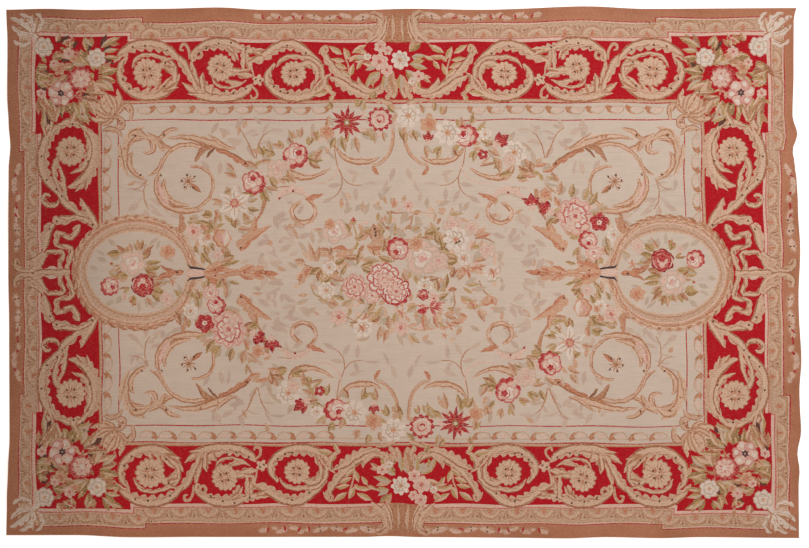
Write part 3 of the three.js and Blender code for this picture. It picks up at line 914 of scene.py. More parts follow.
FIELD_SCROLLS = [
    # knots of x, y, width; the shaded side; lobes; tones
    # volute beside the corner
    ([(148, 127, 1), (138, 131, 6), (130, 140, 7), (127, 151, 6), (129, 163, 3)], 1, 0, PALE),
    ([(122, 143, 1), (122, 154, 4), (125, 166, 4), (131, 176, 1)], 1, 0, PALE),
    ([(133, 146, 2), (138, 139, 4), (147, 137.5, 4.5), (155, 142, 4.5), (156.5, 150, 4), (150, 154, 2.5),
      (145, 152, 1)], 1, 0, WARM),
    ([(136, 152, 1), (132, 158, 5), (133, 168, 5), (140, 175, 4), (148, 180, 2)], -1, 0, WARM),
    ([(151, 176, 1), (159, 172, 3.5), (163, 165, 3), (164, 158, 1)], 1, 0, WARM),
    ([(150, 134, 2), (159, 140, 6), (168, 148, 6), (178, 150, 3)], 1, 0, PALE),
    ([(161, 140, 1), (163, 146, 5), (166, 152, 1)], 1, 0, WARM),
    ([(158, 141, 1), (166, 137, 4), (173, 131, 4.5), (182, 129, 1.5)], 1, 0, WARM),
    ([(132, 139, 2), (136, 133.5, 6), (143, 133, 6), (149, 137, 2)], 1, 0, PALE),
    # long arch over the round scroll
    ([(163, 170, 2), (168, 157, 3), (180, 147, 4), (195, 144.5, 4), (208, 148, 4), (217, 149, 2)],
      1, 0, WARM),
    ([(170, 139, 1), (184, 136.5, 4), (199, 137.5, 6), (213, 142, 8), (226, 147, 7), (233, 151, 2)],
      -1, 6, WARM),
    ([(212, 134, 1), (220, 140, 3), (229, 147, 4), (240, 150, 1)], 1, 0, WARM),
    ([(220, 151, 2), (230, 153, 4), (240, 159, 5), (248, 163.5, 5), (253, 167, 1)],
      1, 0, ("coral", "peach", "brown")),
    ([(219, 147, 1), (208, 149, 5), (202, 156, 4), (198, 162, 1)], -1, 0, ("fawn", "tan", "brown")),
    ([(219, 149, 1), (214, 153, 2.6), (210, 158, 1)], -1, 0, ("brown", "brown", "umber")),
    # round scroll
    ([(163, 172, 2), (159, 180, 3), (159.5, 191, 3.5), (166, 202, 5), (177, 208.5, 6), (190, 211, 6),
      (207, 210.5, 1)], -1, 0, WARM),
    ([(194, 211, 2), (205, 206, 3), (213, 197, 3), (216, 185, 3), (213, 174, 3), (204, 167.5, 3),
      (193, 166, 2)], 1, 0, WARM),
    ([(167, 179, 2), (167, 189, 5), (172, 198, 6), (181, 204, 5), (192, 206, 2)], -1, 5, WARM),
    ([(162, 178, 1), (163, 189, 4), (168, 199, 4), (172, 204, 1)], -1, 0, ("blush", "dusk", "pink")),
    # small open volute
    ([(279, 201, 2), (287, 193, 6), (298, 190, 7), (308, 194, 5), (313, 200, 2)],
      -1, 0, ("blush", "blush", "dusk")),
    ([(304, 202, 2), (297, 206, 4), (293.5, 213, 4), (297, 220, 4), (305, 223, 4.5), (314, 220, 4),
      (318.5, 212, 3.5), (316, 204, 3), (309, 198, 3)], 1, 0, WARM),
    ([(309, 200, 2), (316, 198, 4.5), (327, 194, 1)], 1, 0, ("coral", "peach", "coral")),
    # brown acanthus
    ([(257.5, 216, 1), (256.5, 226, 6), (252, 236, 8), (246, 243, 10), (240, 248, 7)],
      1, 0, ("peach", "sand", "coral")),
    ([(274, 226, 1), (264, 231, 5), (254, 237, 7), (247, 243, 4)], 1, 0, ("peach", "sand", "coral")),
    # arches under the middle flowers
    ([(339, 145, 1), (344, 154, 3.5), (353, 159.5, 5), (364, 161, 6), (375, 160.5, 4), (383, 157, 1)],
      -1, 0, WARM),
    ([(290, 165, 2), (296, 173, 7), (306, 177.5, 6), (317, 177, 4), (327, 173, 3), (334, 168, 1)],
      -1, 4, WARM),
    ([(376, 166, 1), (378, 171, 4), (382, 175, 1)], 1, 0, ("coral", "peach", "coral")),
]


# Faint sprays of the field: how many leaves, how wide, and their route
SPRAYS = [
    (26, 8, [(262, 264), (272, 250), (284, 236), (294, 222), (300, 207)]),
    (9, 5, [(214, 136), (230, 130), (246, 132), (262, 138), (272, 128)]),
    (5, 5, [(132, 186), (144, 198), (160, 212), (176, 218)]),
]


ROUND_SCROLL = (191, 181.5)
FIELD_DOTS = [
    (184, 180), (189.5, 175), (197, 176.5), (187, 187.5), (196, 188), (138, 136), (143, 175.5), (163.5, 175),
    (168, 135), (249, 163.5), (243, 248),
]


def field_scrolls(pen):
    for count, spread, route in SPRAYS:
        drift(pen, count, route, spread, ("mist", "dusk", "mist", "cream", "sand"))
    for x, y, turn, long, wide in FIELD_SAGE:
        wool = random.choice(("mist", "dusk"))
        pen.leaf(x, y, turn, 1.25 * long, 1.15 * wide, wool, "cream" if long > 12 else None)
    for wool, *knots in FIELD_STEMS:
        pen.band([(x, y, 0.75 * wide) for x, y, wide in knots], wool)
    for knots, shade, lobes, tones in FIELD_SCROLLS:
        line = "tan" if tones == WARM else None
        scroll(pen, [(x, y, 1.3 * wide) for x, y, wide in knots], shade, lobes, tones, 0.45, line)
    for k in range(10):
        pen.leaf(*ROUND_SCROLL, 36 * k, 10 if k % 2 else 8, 1.5, "fawn")
    pen.leaf(193, 184, 40, 15, 5, "coral", "brown")
    pen.blob(*ROUND_SCROLL, 2, "brown", sides=7)
    dots(pen, FIELD_DOTS)
    dots(pen, [(282, 199), (296.5, 192)], "crimson", 1.5)


# Oval medallion of the left side; the right one is the same after a half turn
MEDALLION = (139.5, 273)


def oval(x, y, long, wide, count=44):
    angles = [2 * math.pi * k / count for k in range(count)]
    return [(x + long * math.cos(t), y + wide * math.sin(t)) for t in angles]


def medallion_ring(left, right, wide, tip, count=48):
    """A ring's outline: an oval, longer on the left, drawn out to a tip on the right."""
    points = []
    for k in range(count):
        t = 2 * math.pi * k / count
        x, y = (left if math.cos(t) < 0 else right) * math.cos(t), wide * math.sin(t)
        drawn = tip * math.exp(-abs(y) / 5) if x > 0 else -2 * math.exp(-abs(y) / 8)
        points.append((MEDALLION[0] + x + drawn, MEDALLION[1] + y))
    return points


# Rings from the outside in: wool, reach to the left and right, half width, tip
MEDALLION_RINGS = [
    ("tan", 65.5, 56, 58, 12), ("biscuit", 64.6, 55.2, 57.1, 11), ("fawn", 59.6, 53.8, 52.8, 9),
    ("sand", 58.8, 53.2, 52, 8), ("blush", 57.2, 52.6, 50.6, 6), ("guard", 56, 52.2, 49.4, 5),
    ("fawn", 52.8, 51.4, 45.2, 4), ("guard", 52, 51, 44.2, 3), ("ivory", 50.6, 50.4, 42.4, 0),
    ("cream", 49.6, 49.6, 41.4, 0),
]
MEDALLION_LEAVES = [
    (123, 253, 175, 12, 8, "olive"), (130, 252, 205, 11, 5, "tan"), (134, 252, 250, 8, 5, "tan"),
    (141, 251, 290, 10, 5, "moss"), (138, 251, 275, 8, 4, "olive"), (146, 260, 305, 10, 5, "moss"),
    (146, 264, 355, 15, 5, "olive"), (146, 268, 30, 12, 6, "moss"), (148, 271, 345, 14, 5, "olive"),
    (131, 276, 180, 12, 6, "olive"), (132, 288, 175, 10, 3, "moss"), (152, 290, 10, 14, 6, "olive"),
    (152, 294, 35, 14, 6, "olive"), (148, 297, 60, 12, 5, "tan"), (157, 284, 350, 14, 5, "pale"),
    (168, 286, 200, 9, 4, "pale"), (124, 296, 130, 9, 6, "sage"), (110, 272, 20, 12, 6, "pale"),
    (116, 300, 150, 9, 5, "sage"), (126, 266, 180, 9, 3, "tan"), (128, 254, 225, 11, 5, "brown"),
    (144, 255, 320, 13, 5, "brown"), (147, 276, 5, 12, 5, "brown"), (128, 270, 150, 10, 5, "moss"),
    (150, 288, -20, 13, 5, "brown"), (136, 296, 100, 10, 5, "olive"), (122, 280, 200, 9, 4, "tan"),
    (140, 250, 265, 10, 4, "tan"), (150, 246, -40, 12, 4, "sage"), (158, 250, -70, 9, 4, "sage"),
    (108, 256, 210, 9, 4, "sage"), (176, 290, 20, 10, 4, "pale"), (172, 282, -30, 9, 3, "sage"),
    (100, 270, 200, 8, 5, "sage"), (110, 262, 200, 10, 5, "sage"), (118, 246, 220, 9, 5, "sage"),
    (140, 302, 90, 10, 4, "sage"), (160, 302, 150, 8, 4, "sage"), (176, 262, 200, 9, 4, "sage"),
    (180, 284, 60, 8, 4, "sage"),
]
MEDALLION_FLOWERS = [
    ("coral", 169, 252.5, 8, 10), ("faint", 168.5, 300, 8, 0), ("faint", 135, 263, 14, 120),
    ("red rose", 144.5, 286, 12.5, 0), ("rimmed", 111.5, 286, 9.5, 140), ("bud", 116, 265, 2.6, 215),
    ("bud", 133, 300, 2.6, 110), ("bud", 136, 302, 2.6, 80), ("faint", 126, 297, 4, 0),
    ("sprig", 175, 282, 5, 20),
]


# Scrolls on both sides of the medallion's axis: knots of x, distance from the axis, width; tones
MEDALLION_SCROLLS = [
    ([(179, 42, 5), (187, 34, 6), (192, 24, 4), (197, 13, 3.5), (205, 5, 2)], WARM),
    ([(184, 60, 2), (185, 50, 7), (184, 41, 7), (177, 44, 3)], ("biscuit", "coral", "tan")),
]
# Stems on the axis, before and after the spearhead: knots of x, y, width
MEDALLION_STEMS = [
    [(158, 281, 1), (166, 277, 7), (176, 274, 6), (184, 272.5, 5), (186, 273, 2)],
    [(163, 266, 1), (168, 270, 4), (175, 272, 4)],
]
SPEAR_TIP = [(256, 273, 2), (266, 273.5, 6), (274, 274, 5), (280, 274, 1)]
# The spearhead of acanthus towards the middle of the rug, as x, distance from the axis, width
SPEAR = [
    (206, 0, 2), (214, 3, 8), (223, 5, 8), (230, 2, 5), (240, 1.2, 5), (250, 3, 6), (259, 5, 5), (266, 6, 1),
]
SPEAR_BAR = [(189.5, 8.5, 0.6), (193, 5.2, 2.2), (200, 5, 2), (206.5, 3.4, 1.6)]
# Its leaves: x, distance from the axis, turn, length, width, wool, shaded wool
SPEAR_LEAVES = [
    (205, 1, 21, 27, 13, "peach", "coral"), (238, 0, 24, 19, 7, "peach", "coral"),
    (254, 0, 20, 13, 5, "peach", "coral"), (230, 9, 14, 12, 4, "olive", "moss"),
]
SPEAR_DOTS = [(225, 266), (217, 270), (217, 275.5), (225, 280), (246, 273), (267, 273)]


def beside(knots, side):
    """Knots on one side of the medallion's axis, from their distances to it."""
    return [(x, MEDALLION[1] + side * off, wide) for x, off, wide in knots]


def medallion(pen):
    for wool, *sizes in MEDALLION_RINGS:
        pen.patch(medallion_ring(*sizes), wool, exact=True)
    # wreath of leaves round it, pointed ends and both ways from the left
    for side in (-1, 1):
        for k in range(17):
            a = math.radians(180 + side * (5 + 9.4 * k))
            reach = 62.5 if math.cos(a) < 0 else 55
            x, y = MEDALLION[0] + reach * math.cos(a), MEDALLION[1] + 55 * math.sin(a)
            turn = math.degrees(a) + side * 90
            pen.leaf(x, y, turn - 10 * side, 13, 5, "shell", "brown" if k % 3 == 0 else "tan")
            pen.leaf(x, y, turn + 12 * side, 11, 4.2, "ivory", "biscuit" if k % 2 else "coral")
    for side in (-1, 1):
        for knots, tones in MEDALLION_SCROLLS:
            scroll(pen, beside(knots, side), side, 0, tones)
    plant(pen, MEDALLION_FLOWERS, MEDALLION_LEAVES)
    for knots in MEDALLION_STEMS:
        scroll(pen, knots, 1, 0, RUSSET)
    pen.blob(179, 272.5, 1.8, "umber", wide=0.5, sides=7)
    pen.patch(oval(200, 273, 11, 5.5, 14), "blush")
    for side in (-1, 1):
        scroll(pen, beside(SPEAR, side), side, 0, ("peach", "sand", "coral"))
        for x, off, turn, long, wide, body, shade in SPEAR_LEAVES:
            pen.leaf(x, MEDALLION[1] + side * off, side * turn, long, wide, body, shade)
        pen.band(beside(SPEAR_BAR, side), "navy")
    scroll(pen, SPEAR_TIP, 1, 0, RUSSET)
    dots(pen, SPEAR_DOTS, "crimson", 1.3)


# Garland of the upper half; the lower one is the same after a half turn
GARLAND_LEAVES = [
    # left arm
    (262, 168, 210, 12, 6, "tan"), (270, 176, 30, 11, 6, "olive"), (274, 178, 60, 11, 6, "olive"),
    (282, 176, 20, 12, 5, "olive"), (265, 190, 60, 12, 6, "olive"), (258, 195, 190, 12, 5, "olive"),
    (250, 196, 160, 9, 4, "moss"), (268, 186, 20, 12, 5, "tan"), (240, 178, 200, 12, 5, "tan"),
    (238, 172, 230, 10, 4, "tan"), (232, 188, 100, 10, 5, "moss"), (228, 190, 70, 9, 4, "olive"),
    (225, 202, 190, 10, 4, "tan"), (248, 208, 10, 12, 5, "olive"), (246, 212, 50, 10, 3, "moss"),
    (250, 202, 340, 10, 4, "pale"), (222, 212, 110, 11, 5, "tan"), (218, 210, 60, 8, 5, "coral"),
    (240, 218, 100, 9, 4, "moss"), (234, 218, 70, 9, 4, "olive"), (216, 216, 180, 10, 6, "olive"),
    (212, 220, 60, 10, 6, "olive"), (214, 226, 200, 12, 6, "olive"), (216, 230, 190, 13, 5, "moss"),
    (214, 242, 80, 8, 5, "olive"), (206, 246, 70, 9, 5, "olive"), (203, 252, 50, 14, 5, "olive"),
    (224, 246, 70, 9, 6, "coral"), (228, 250, 90, 9, 5, "olive"), (232, 250, 110, 10, 5, "moss"),
    (236, 256, 170, 9, 5, "olive"), (192, 218, 30, 11, 6, "olive"), (190, 222, 10, 9, 5, "pale"),
    (196, 246, 60, 8, 4, "olive"), (240, 228, 5, 12, 5, "tan"), (246, 224, 340, 10, 4, "pale"),
    (222, 262, 340, 12, 5, "tan"), (234, 264, 170, 10, 4, "olive"), (292, 136, 60, 9, 4, "brown"),
    (310, 158, 10, 14, 9, "olive"), (312, 162, 30, 12, 6, "moss"), (312, 146, 300, 10, 5, "olive"),
    (304, 138, 280, 10, 5, "tan"), (296, 140, 250, 10, 4, "pale"), (288, 148, 200, 11, 5, "tan"),
    (280, 154, 200, 11, 5, "olive"), (274, 152, 260, 10, 5, "pale"), (268, 156, 240, 11, 5, "olive"),
    (276, 160, 170, 12, 5, "tan"), (292, 172, 60, 12, 6, "tan"), (320, 142, 250, 12, 6, "tan"),
    (316, 134, 280, 10, 5, "sage"), (326, 150, 120, 12, 5, "tan"), (340, 138, 120, 11, 6, "olive"),
    (346, 136, 80, 14, 6, "olive"), (360, 136, 80, 15, 6, "tan"), (366, 132, 10, 12, 5, "olive"),
    (372, 128, 60, 12, 5, "pale"), (368, 112, 280, 10, 5, "pale"), (334, 116, 100, 12, 5, "tan"),
    (338, 110, 250, 8, 4, "olive"), (362, 108, 300, 9, 5, "olive"), (330, 126, 90, 10, 5, "tan"),
    (380, 132, 90, 10, 5, "pale"), (388, 131, 80, 9, 4, "tan"), (376, 100, 300, 8, 5, "olive"),
    (392, 104, 50, 10, 5, "olive"),
    # right arm
    (404, 130, 60, 12, 5, "olive"), (410, 132, 90, 10, 6, "moss"), (418, 130, 70, 11, 5, "olive"),
    (428, 114, 250, 9, 5, "tan"), (438, 112, 280, 9, 5, "olive"), (446, 116, 300, 10, 5, "tan"),
    (430, 145, 80, 12, 5, "tan"), (446, 146, 110, 12, 5, "olive"), (458, 147, 60, 10, 5, "moss"),
    (464, 128, 280, 10, 5, "tan"), (474, 124, 290, 10, 5, "olive"), (480, 130, 320, 12, 5, "pale"),
    (484, 140, 20, 12, 5, "olive"), (488, 146, 340, 12, 5, "moss"), (480, 150, 100, 11, 5, "olive"),
    (492, 150, 30, 12, 5, "tan"), (498, 158, 70, 12, 5, "olive"), (484, 167, -14, 16, 3, "brown"),
    (504, 160, 90, 12, 5, "tan"), (522, 166, 20, 12, 6, "moss"), (528, 158, 60, 12, 6, "tan"),
    (516, 172, 160, 12, 5, "olive"), (534, 160, 80, 12, 6, "brown"), (520, 178, 340, 13, 6, "olive"),
    (536, 166, 350, 13, 5, "coral"), (526, 174, 10, 12, 5, "coral"), (546, 172, 340, 12, 6, "coral"),
    (512, 144, 300, 12, 5, "sage"), (524, 142, 40, 14, 5, "sage"), (534, 150, 70, 14, 5, "sage"),
    (553, 212, 20, 10, 6, "moss"), (556, 218, 130, 10, 5, "olive"), (552, 224, 330, 12, 6, "moss"),
    (562, 208, 250, 10, 6, "coral"), (562, 196, 280, 12, 7, "tan"), (574, 198, 280, 12, 7, "olive"),
    (586, 200, 290, 12, 7, "pale"), (592, 206, 300, 14, 7, "olive"), (592, 213, 10, 12, 6, "olive"),
    (600, 210, 340, 10, 5, "pale"), (582, 236, 200, 12, 5, "olive"), (574, 236, 220, 10, 5, "tan"),
    (592, 230, 230, 9, 5, "brown"), (608, 236, 80, 14, 5, "olive"), (606, 246, 70, 10, 5, "moss"),
    (612, 226, 230, 9, 4, "brown"), (622, 226, 110, 12, 5, "brown"), (618, 218, 60, 10, 5, "tan"),
    (626, 220, 70, 14, 6, "brown"), (600, 256, 100, 10, 6, "olive"), (590, 258, 120, 10, 5, "olive"),
    (580, 246, 90, 12, 5, "tan"), (560, 182, 240, 12, 3, "brown"), (548, 184, 40, 14, 3, "tan"),
    (612, 248, 40, 9, 4, "olive"), (578, 254, 60, 12, 6, "tan"),
]
# The garland's course, about which its faint leaves are scattered: x, y
GARLAND_ROUTE = [
    (202, 244), (222, 214), (240, 188), (262, 172), (288, 160), (312, 148), (336, 138), (366, 128),
    (402, 126), (440, 130), (478, 140), (514, 156), (542, 178), (556, 205), (586, 224), (606, 244),
]
GARLAND_FLOWERS = [
    # left arm
    ("coral", 331, 133, 8, 0), ("star", 352, 123, 16.5, 5), ("wheel", 385, 119, 12.5, 0),
    ("faint", 281, 169, 11, 40), ("rimmed", 299, 155, 13, 80), ("faint", 269, 180, 5, 0),
    ("rimmed", 256, 182, 12, 30), ("lily", 237, 203, 18, 30), ("tulip", 226, 246, 11.5, 268),
    ("pink", 196, 232, 8.5, 0), ("white", 206, 240, 6, 0), ("coral", 210, 237, 4, 0),
    ("faint", 219, 255, 6, 0), ("sprig", 207, 228, 5, 0), ("faint", 289, 166, 6, 0),
    # right arm
    ("white", 413, 116, 12.5, 0), ("coral", 433, 125, 9, 0), ("tuft", 433, 141, 8.5, 270),
    ("rimmed", 470, 136, 11.5, 340), ("white", 452, 133, 13, 10), ("white", 489, 134, 6.5, 0),
    ("tuft", 501, 144, 13, 325), ("red", 487, 155, 5.5, 0), ("white", 518, 153, 12.5, 0),
    ("faint", 513, 160, 7, 0), ("tuft", 535, 206, 12, 268), ("tuft", 552, 211, 12, 215),
    ("coral", 549, 195, 7, 0), ("peony", 578, 216, 18, 10), ("red", 602, 222, 10, 20),
    ("white", 616, 235, 8, 0), ("rimmed", 590, 240, 9.5, 200), ("rose", 595, 253, 8.5, 0),
    ("faint", 572, 226, 6, 0),
]

# Bunch in the middle of the field
CENTRE_STEMS = [
    ("olive", (358, 250, 2), (359, 238, 1.6), (356, 226, 1.4)),
    ("fawn", (390, 212, 1), (400, 213, 1.4), (412, 212, 1.4)),
    ("peach", (412, 212, 1.4), (424, 212, 1.6), (438, 214, 1.2)),
    ("fawn", (416, 214, 1), (414, 224, 1.8), (408, 229, 2.4)),
    ("fawn", (478, 238, 2), (490, 238.5, 1.4), (498, 243, 1)),
    ("olive", (312, 286, 1), (316, 295, 1.6), (327, 299, 1.6), (342, 297, 1.2)),
    ("fawn", (302, 262, 1.4), (313, 267, 1.6), (322, 270, 1)),
    ("fawn", (480, 280, 1), (484, 290, 1.6), (492, 298, 1.2)),
    ("fawn", (455, 292, 1), (457, 303, 1.6), (452, 314, 1)),
    ("fawn", (344, 315, 1.2), (360, 322, 1.2), (372, 320, 1)),
    ("peach", (405, 326, 1.2), (420, 330, 1.6), (436, 328, 1)),
    ("olive", (366, 310, 1.4), (360, 318, 1.4), (352, 326, 1)),
]
CENTRE_LEAVES = [
    (318, 262, 250, 18, 6, "tan"), (320, 262, 275, 14, 6, "tan"), (308, 262, 190, 10, 6, "tan"),
    (314, 268, 130, 12, 8, "coral"), (306, 272, 110, 12, 8, "coral"), (324, 268, 150, 12, 8, "olive"),
    (324, 270, 110, 11, 7, "moss"), (322, 284, 330, 12, 5, "olive"), (334, 252, 190, 12, 7, "tan"),
    (352, 252, 190, 16, 8, "coral"), (345, 258, 0, 18, 6, "brown"), (336, 266, 330, 12, 6, "olive"),
    (350, 264, 120, 13, 4, "olive"), (342, 274, 200, 10, 5, "moss"), (332, 278, 10, 14, 6, "tan"),
    (333, 256, 270, 8, 4, "brown"), (355, 236, 220, 10, 4, "tan"), (360, 240, 310, 12, 6, "olive"),
    (364, 232, 340, 10, 6, "pale"), (352, 232, 240, 10, 5, "olive"), (362, 252, 100, 12, 5, "olive"),
    (374, 240, 80, 14, 4, "moss"), (372, 236, 200, 8, 5, "tan"), (368, 246, 0, 18, 9, "coral"),
    (384, 252, 280, 12, 6, "moss"), (388, 248, 290, 12, 5, "olive"), (384, 236, 280, 12, 6, "olive"),
    (396, 236, 280, 12, 5, "pale"), (380, 256, 20, 14, 6, "olive"), (366, 258, 10, 14, 6, "pale"),
    (376, 262, 160, 12, 5, "olive"), (364, 268, 20, 10, 6, "olive"), (382, 222, 60, 10, 5, "pale"),
    (392, 226, 280, 12, 5, "pale"), (396, 208, 280, 9, 5, "coral"), (404, 224, 300, 14, 7, "sage"),
    (396, 222, 100, 12, 5, "sage"), (414, 230, 330, 12, 7, "pale"), (424, 228, 250, 12, 7, "sage"),
    (428, 234, 340, 14, 8, "olive"), (420, 240, 20, 14, 8, "pale"), (410, 236, 200, 12, 7, "sage"),
    (434, 222, 60, 12, 5, "pale"), (438, 230, 80, 14, 5, "olive"), (442, 236, 70, 14, 6, "olive"),
    (446, 250, 280, 16, 6, "olive"), (438, 250, 100, 14, 5, "olive"), (452, 252, 190, 12, 7, "olive"),
    (444, 256, 10, 16, 8, "moss"), (442, 264, 350, 16, 7, "olive"), (438, 262, 200, 10, 5, "olive"),
    (474, 262, 340, 18, 6, "tan"), (470, 268, 350, 16, 5, "coral"), (478, 236, 350, 14, 6, "coral"),
    (452, 278, 290, 10, 6, "brown"), (460, 280, 300, 12, 5, "tan"), (446, 290, 280, 14, 6, "olive"),
    (440, 292, 260, 12, 6, "moss"), (434, 290, 240, 14, 5, "olive"), (438, 300, 330, 12, 5, "olive"),
    (420, 282, 350, 18, 7, "brown"), (416, 274, 60, 12, 7, "pale"), (410, 280, 280, 12, 7, "pale"),
    (404, 272, 60, 12, 6, "tan"), (426, 312, 90, 16, 7, "coral"), (436, 312, 80, 14, 6, "coral"),
    (420, 306, 150, 12, 6, "pale"), (398, 312, 100, 12, 7, "pale"), (384, 306, 110, 14, 8, "pale"),
    (378, 300, 130, 12, 7, "olive"), (390, 316, 90, 12, 7, "tan"), (376, 312, 150, 12, 6, "pale"),
    (366, 304, 220, 10, 6, "moss"), (368, 312, 100, 10, 6, "coral"), (372, 322, 330, 10, 6, "moss"),
    (362, 326, 200, 10, 6, "olive"), (354, 300, 150, 12, 6, "pale"), (346, 300, 200, 10, 5, "olive"),
    (340, 306, 190, 12, 5, "tan"), (330, 304, 200, 10, 5, "pale"), (382, 326, 100, 14, 5, "tan"),
    (390, 330, 110, 12, 5, "tan"), (398, 334, 60, 12, 5, "sage"), (410, 334, 40, 12, 5, "pale"),
    (468, 308, 350, 14, 5, "pale"), (482, 306, 340, 16, 5, "coral"), (480, 310, 60, 12, 6, "tan"),
    (470, 318, 200, 12, 6, "coral"), (456, 306, 60, 12, 5, "sage"), (462, 296, 20, 12, 5, "pale"),
    (474, 290, 350, 12, 6, "sage"), (492, 296, 60, 10, 6, "coral"), (488, 282, 340, 12, 5, "sage"),
    (466, 284, 0, 14, 5, "pale"), (452, 322, 0, 12, 5, "coral"), (446, 314, 20, 12, 5, "tan"),
    (310, 252, 230, 12, 5, "sage"), (300, 268, 210, 10, 5, "sage"), (316, 244, 260, 12, 5, "sage"),
    (326, 240, 240, 10, 5, "sage"), (310, 300, 160, 12, 5, "sage"), (318, 308, 150, 12, 5, "sage"),
    (352, 212, 260, 10, 5, "sage"), (368, 216, 290, 12, 5, "sage"), (376, 206, 20, 10, 5, "sage"),
    (440, 206, 340, 12, 5, "sage"), (452, 214, 0, 12, 5, "pale"), (466, 212, 300, 10, 5, "sage"),
    (500, 262, 300, 10, 5, "sage"), (494, 310, 10, 10, 5, "sage"), (472, 326, 30, 10, 5, "sage"),
    (424, 340, 20, 10, 5, "sage"), (372, 336, 150, 10, 5, "sage"), (344, 320, 140, 10, 5, "sage"),
    (430, 208, 270, 10, 5, "sage"), (386, 202, 250, 9, 4, "sage"),
]
CENTRE_FLOWERS = [
    ("faint", 337, 231, 14, 200), ("coral", 332, 224, 6, 0), ("bud", 356, 226, 5, 270),
    ("faint", 456, 226, 11, 0), ("faint", 474, 228, 8, 0), ("faint", 424, 258, 20, 160),
    ("faint", 440, 262, 11, 0), ("coral", 418, 244, 8, 0), ("faint", 490, 250, 9, 0),
    ("white", 459, 240, 13, 20), ("rimmed", 400, 249, 11.5, 240), ("sprig", 395, 257, 5, 0),
    ("white", 466, 258, 7, 0), ("sprig", 466, 258, 4, 0), ("sprig", 469, 271, 8, 0),
    ("white", 493, 273, 8, 0), ("sprig", 495, 273, 6, 20), ("white", 328, 291, 9, 0),
    ("white", 332, 268, 7, 0), ("peony", 357, 287, 13, 0), ("rose", 374, 296, 8, 0),
    ("pink", 340, 317, 9, 0), ("white", 364, 328, 10, 0), ("sprig", 364, 328, 5.5, 0),
    ("pink", 412, 206, 6, 0), ("white", 427, 286, 8, 0), ("red rose", 426, 295, 6, 0),
    ("pink", 436, 298, 6, 0), ("sprig", 403, 314, 6, 0), ("pink", 402, 328, 8, 0),
    ("sprig", 475, 305, 6, 0), ("sprig", 452, 325, 6, 0), ("sprig", 446, 335, 4, 0),
]


# Rings of scattered leaves: half length, half width, how many, wools
CENTRE_DRIFTS = [
    (97, 68, 70, ("sage", "sand", "dusk", "peach", "guard", "ivory")),
    (76, 52, 70, ("sand", "olive", "peach", "sage", "fawn", "blush")),
    (54, 35, 54, ("olive", "tan", "peach", "fawn", "sand", "blush")),
]


# Petals of the red lily seen from the side: turn, length
LILY_PETALS = [(188, 13), (165, 12), (345, 17), (12, 15), (60, 12), (318, 10)]
LILY = (432, 307)


def centre_bunch(pen):
    for long, wide, count, wools in CENTRE_DRIFTS:
        drift(pen, count, oval(403, 268, long, wide), 6, wools)
    plant(pen, CENTRE_FLOWERS, CENTRE_LEAVES, CENTRE_STEMS, ("sand", "sage", "peach", "ivory"), "guard")
    # a brown bud with dark stripes
    pen.leaf(378, 243, 265, 19, 13, "tan", "fawn")
    pen.leaf(378, 243, 262, 16, 8, "sand")
    # the large double flower
    peony(pen, 386, 279, 16.5, 20, 1.0, "rose", "rose", "white")
    peony(pen, 399, 292, 14, 60, 1.0, "rose", "madder", "white")
    arcs(pen, 397, 291, 14, 0, [(1.0, -20, 190, 0.17, "madder")])
    round_flower(pen, 392, 283, 8, 0, "blush", "rose", "white", 6)
    for turn, long in LILY_PETALS:
        pen.leaf(*LILY, turn, long, 5.5, "rose", "blush")
        pen.leaf(*LILY, turn + 4, 0.8 * long, 1.6, "madder")
    pen.blob(424, 311.5, 4.5, "madder", wide=0.6)
    dots(pen, [(459, 243), (462, 242), (378, 233), (378, 236), (377, 230)], "umber", 1.6)


# The whole drawing, from the edge in
for pen in QUARTERS:
    guards(pen)
    outer_band(pen)
    border(pen)
    calyxes(pen)
    corner(pen)
    field_scrolls(pen)
for pen in HALVES:
    plant(pen, MIDDLE_FLOWERS, MIDDLE_LEAVES)
    medallion(pen)
    drift(pen, 90, GARLAND_ROUTE, 7, ("sage", "sand", "dusk", "olive", "peach", "blush"))
    plant(pen, GARLAND_FLOWERS, GARLAND_LEAVES, light="guard")
centre_bunch(Pen())


# The sheet
def bulge(rows, place):
    """An edge's bulge at places along it, eased from row to row, in metres."""
    at, out = (np.array(column, float) * MM for column in zip(*rows))
    place = np.clip(place, at[0], at[-1])
    row = np.clip(np.searchsorted(at, place) - 1, 0, len(at) - 2)
    share = (place - at[row]) / (at[row + 1] - at[row])
    return out[row] + (out[row + 1] - out[row]) * share * share * (3 - 2 * share)


def ease(value, start, end):
    share = np.clip((value - start) / (end - start), 0, 1)
    return share * share * (3 - 2 * share)


def ruled(outline, longest=12.0, close=0.16):
    """A closed outline without the points that its neighbours don't need, and with its long edges cut."""
    kept = [outline[0]]
    for k in range(1, len(outline)):
        way = outline[(k + 1) % len(outline)] - kept[-1]
        off = outline[k] - kept[-1]
        reach = math.hypot(*way)
        if reach > longest or abs(way[0] * off[1] - way[1] * off[0]) > close * reach or way @ off < 0:
            kept.append(outline[k])
    cut = []
    for a, b in zip(kept, kept[1:] + kept[:1]):
        parts = math.ceil(math.hypot(*(b - a)) / longest)
        cut += [a + (b - a) * k / parts for k in range(parts)]
    return np.array(cut)


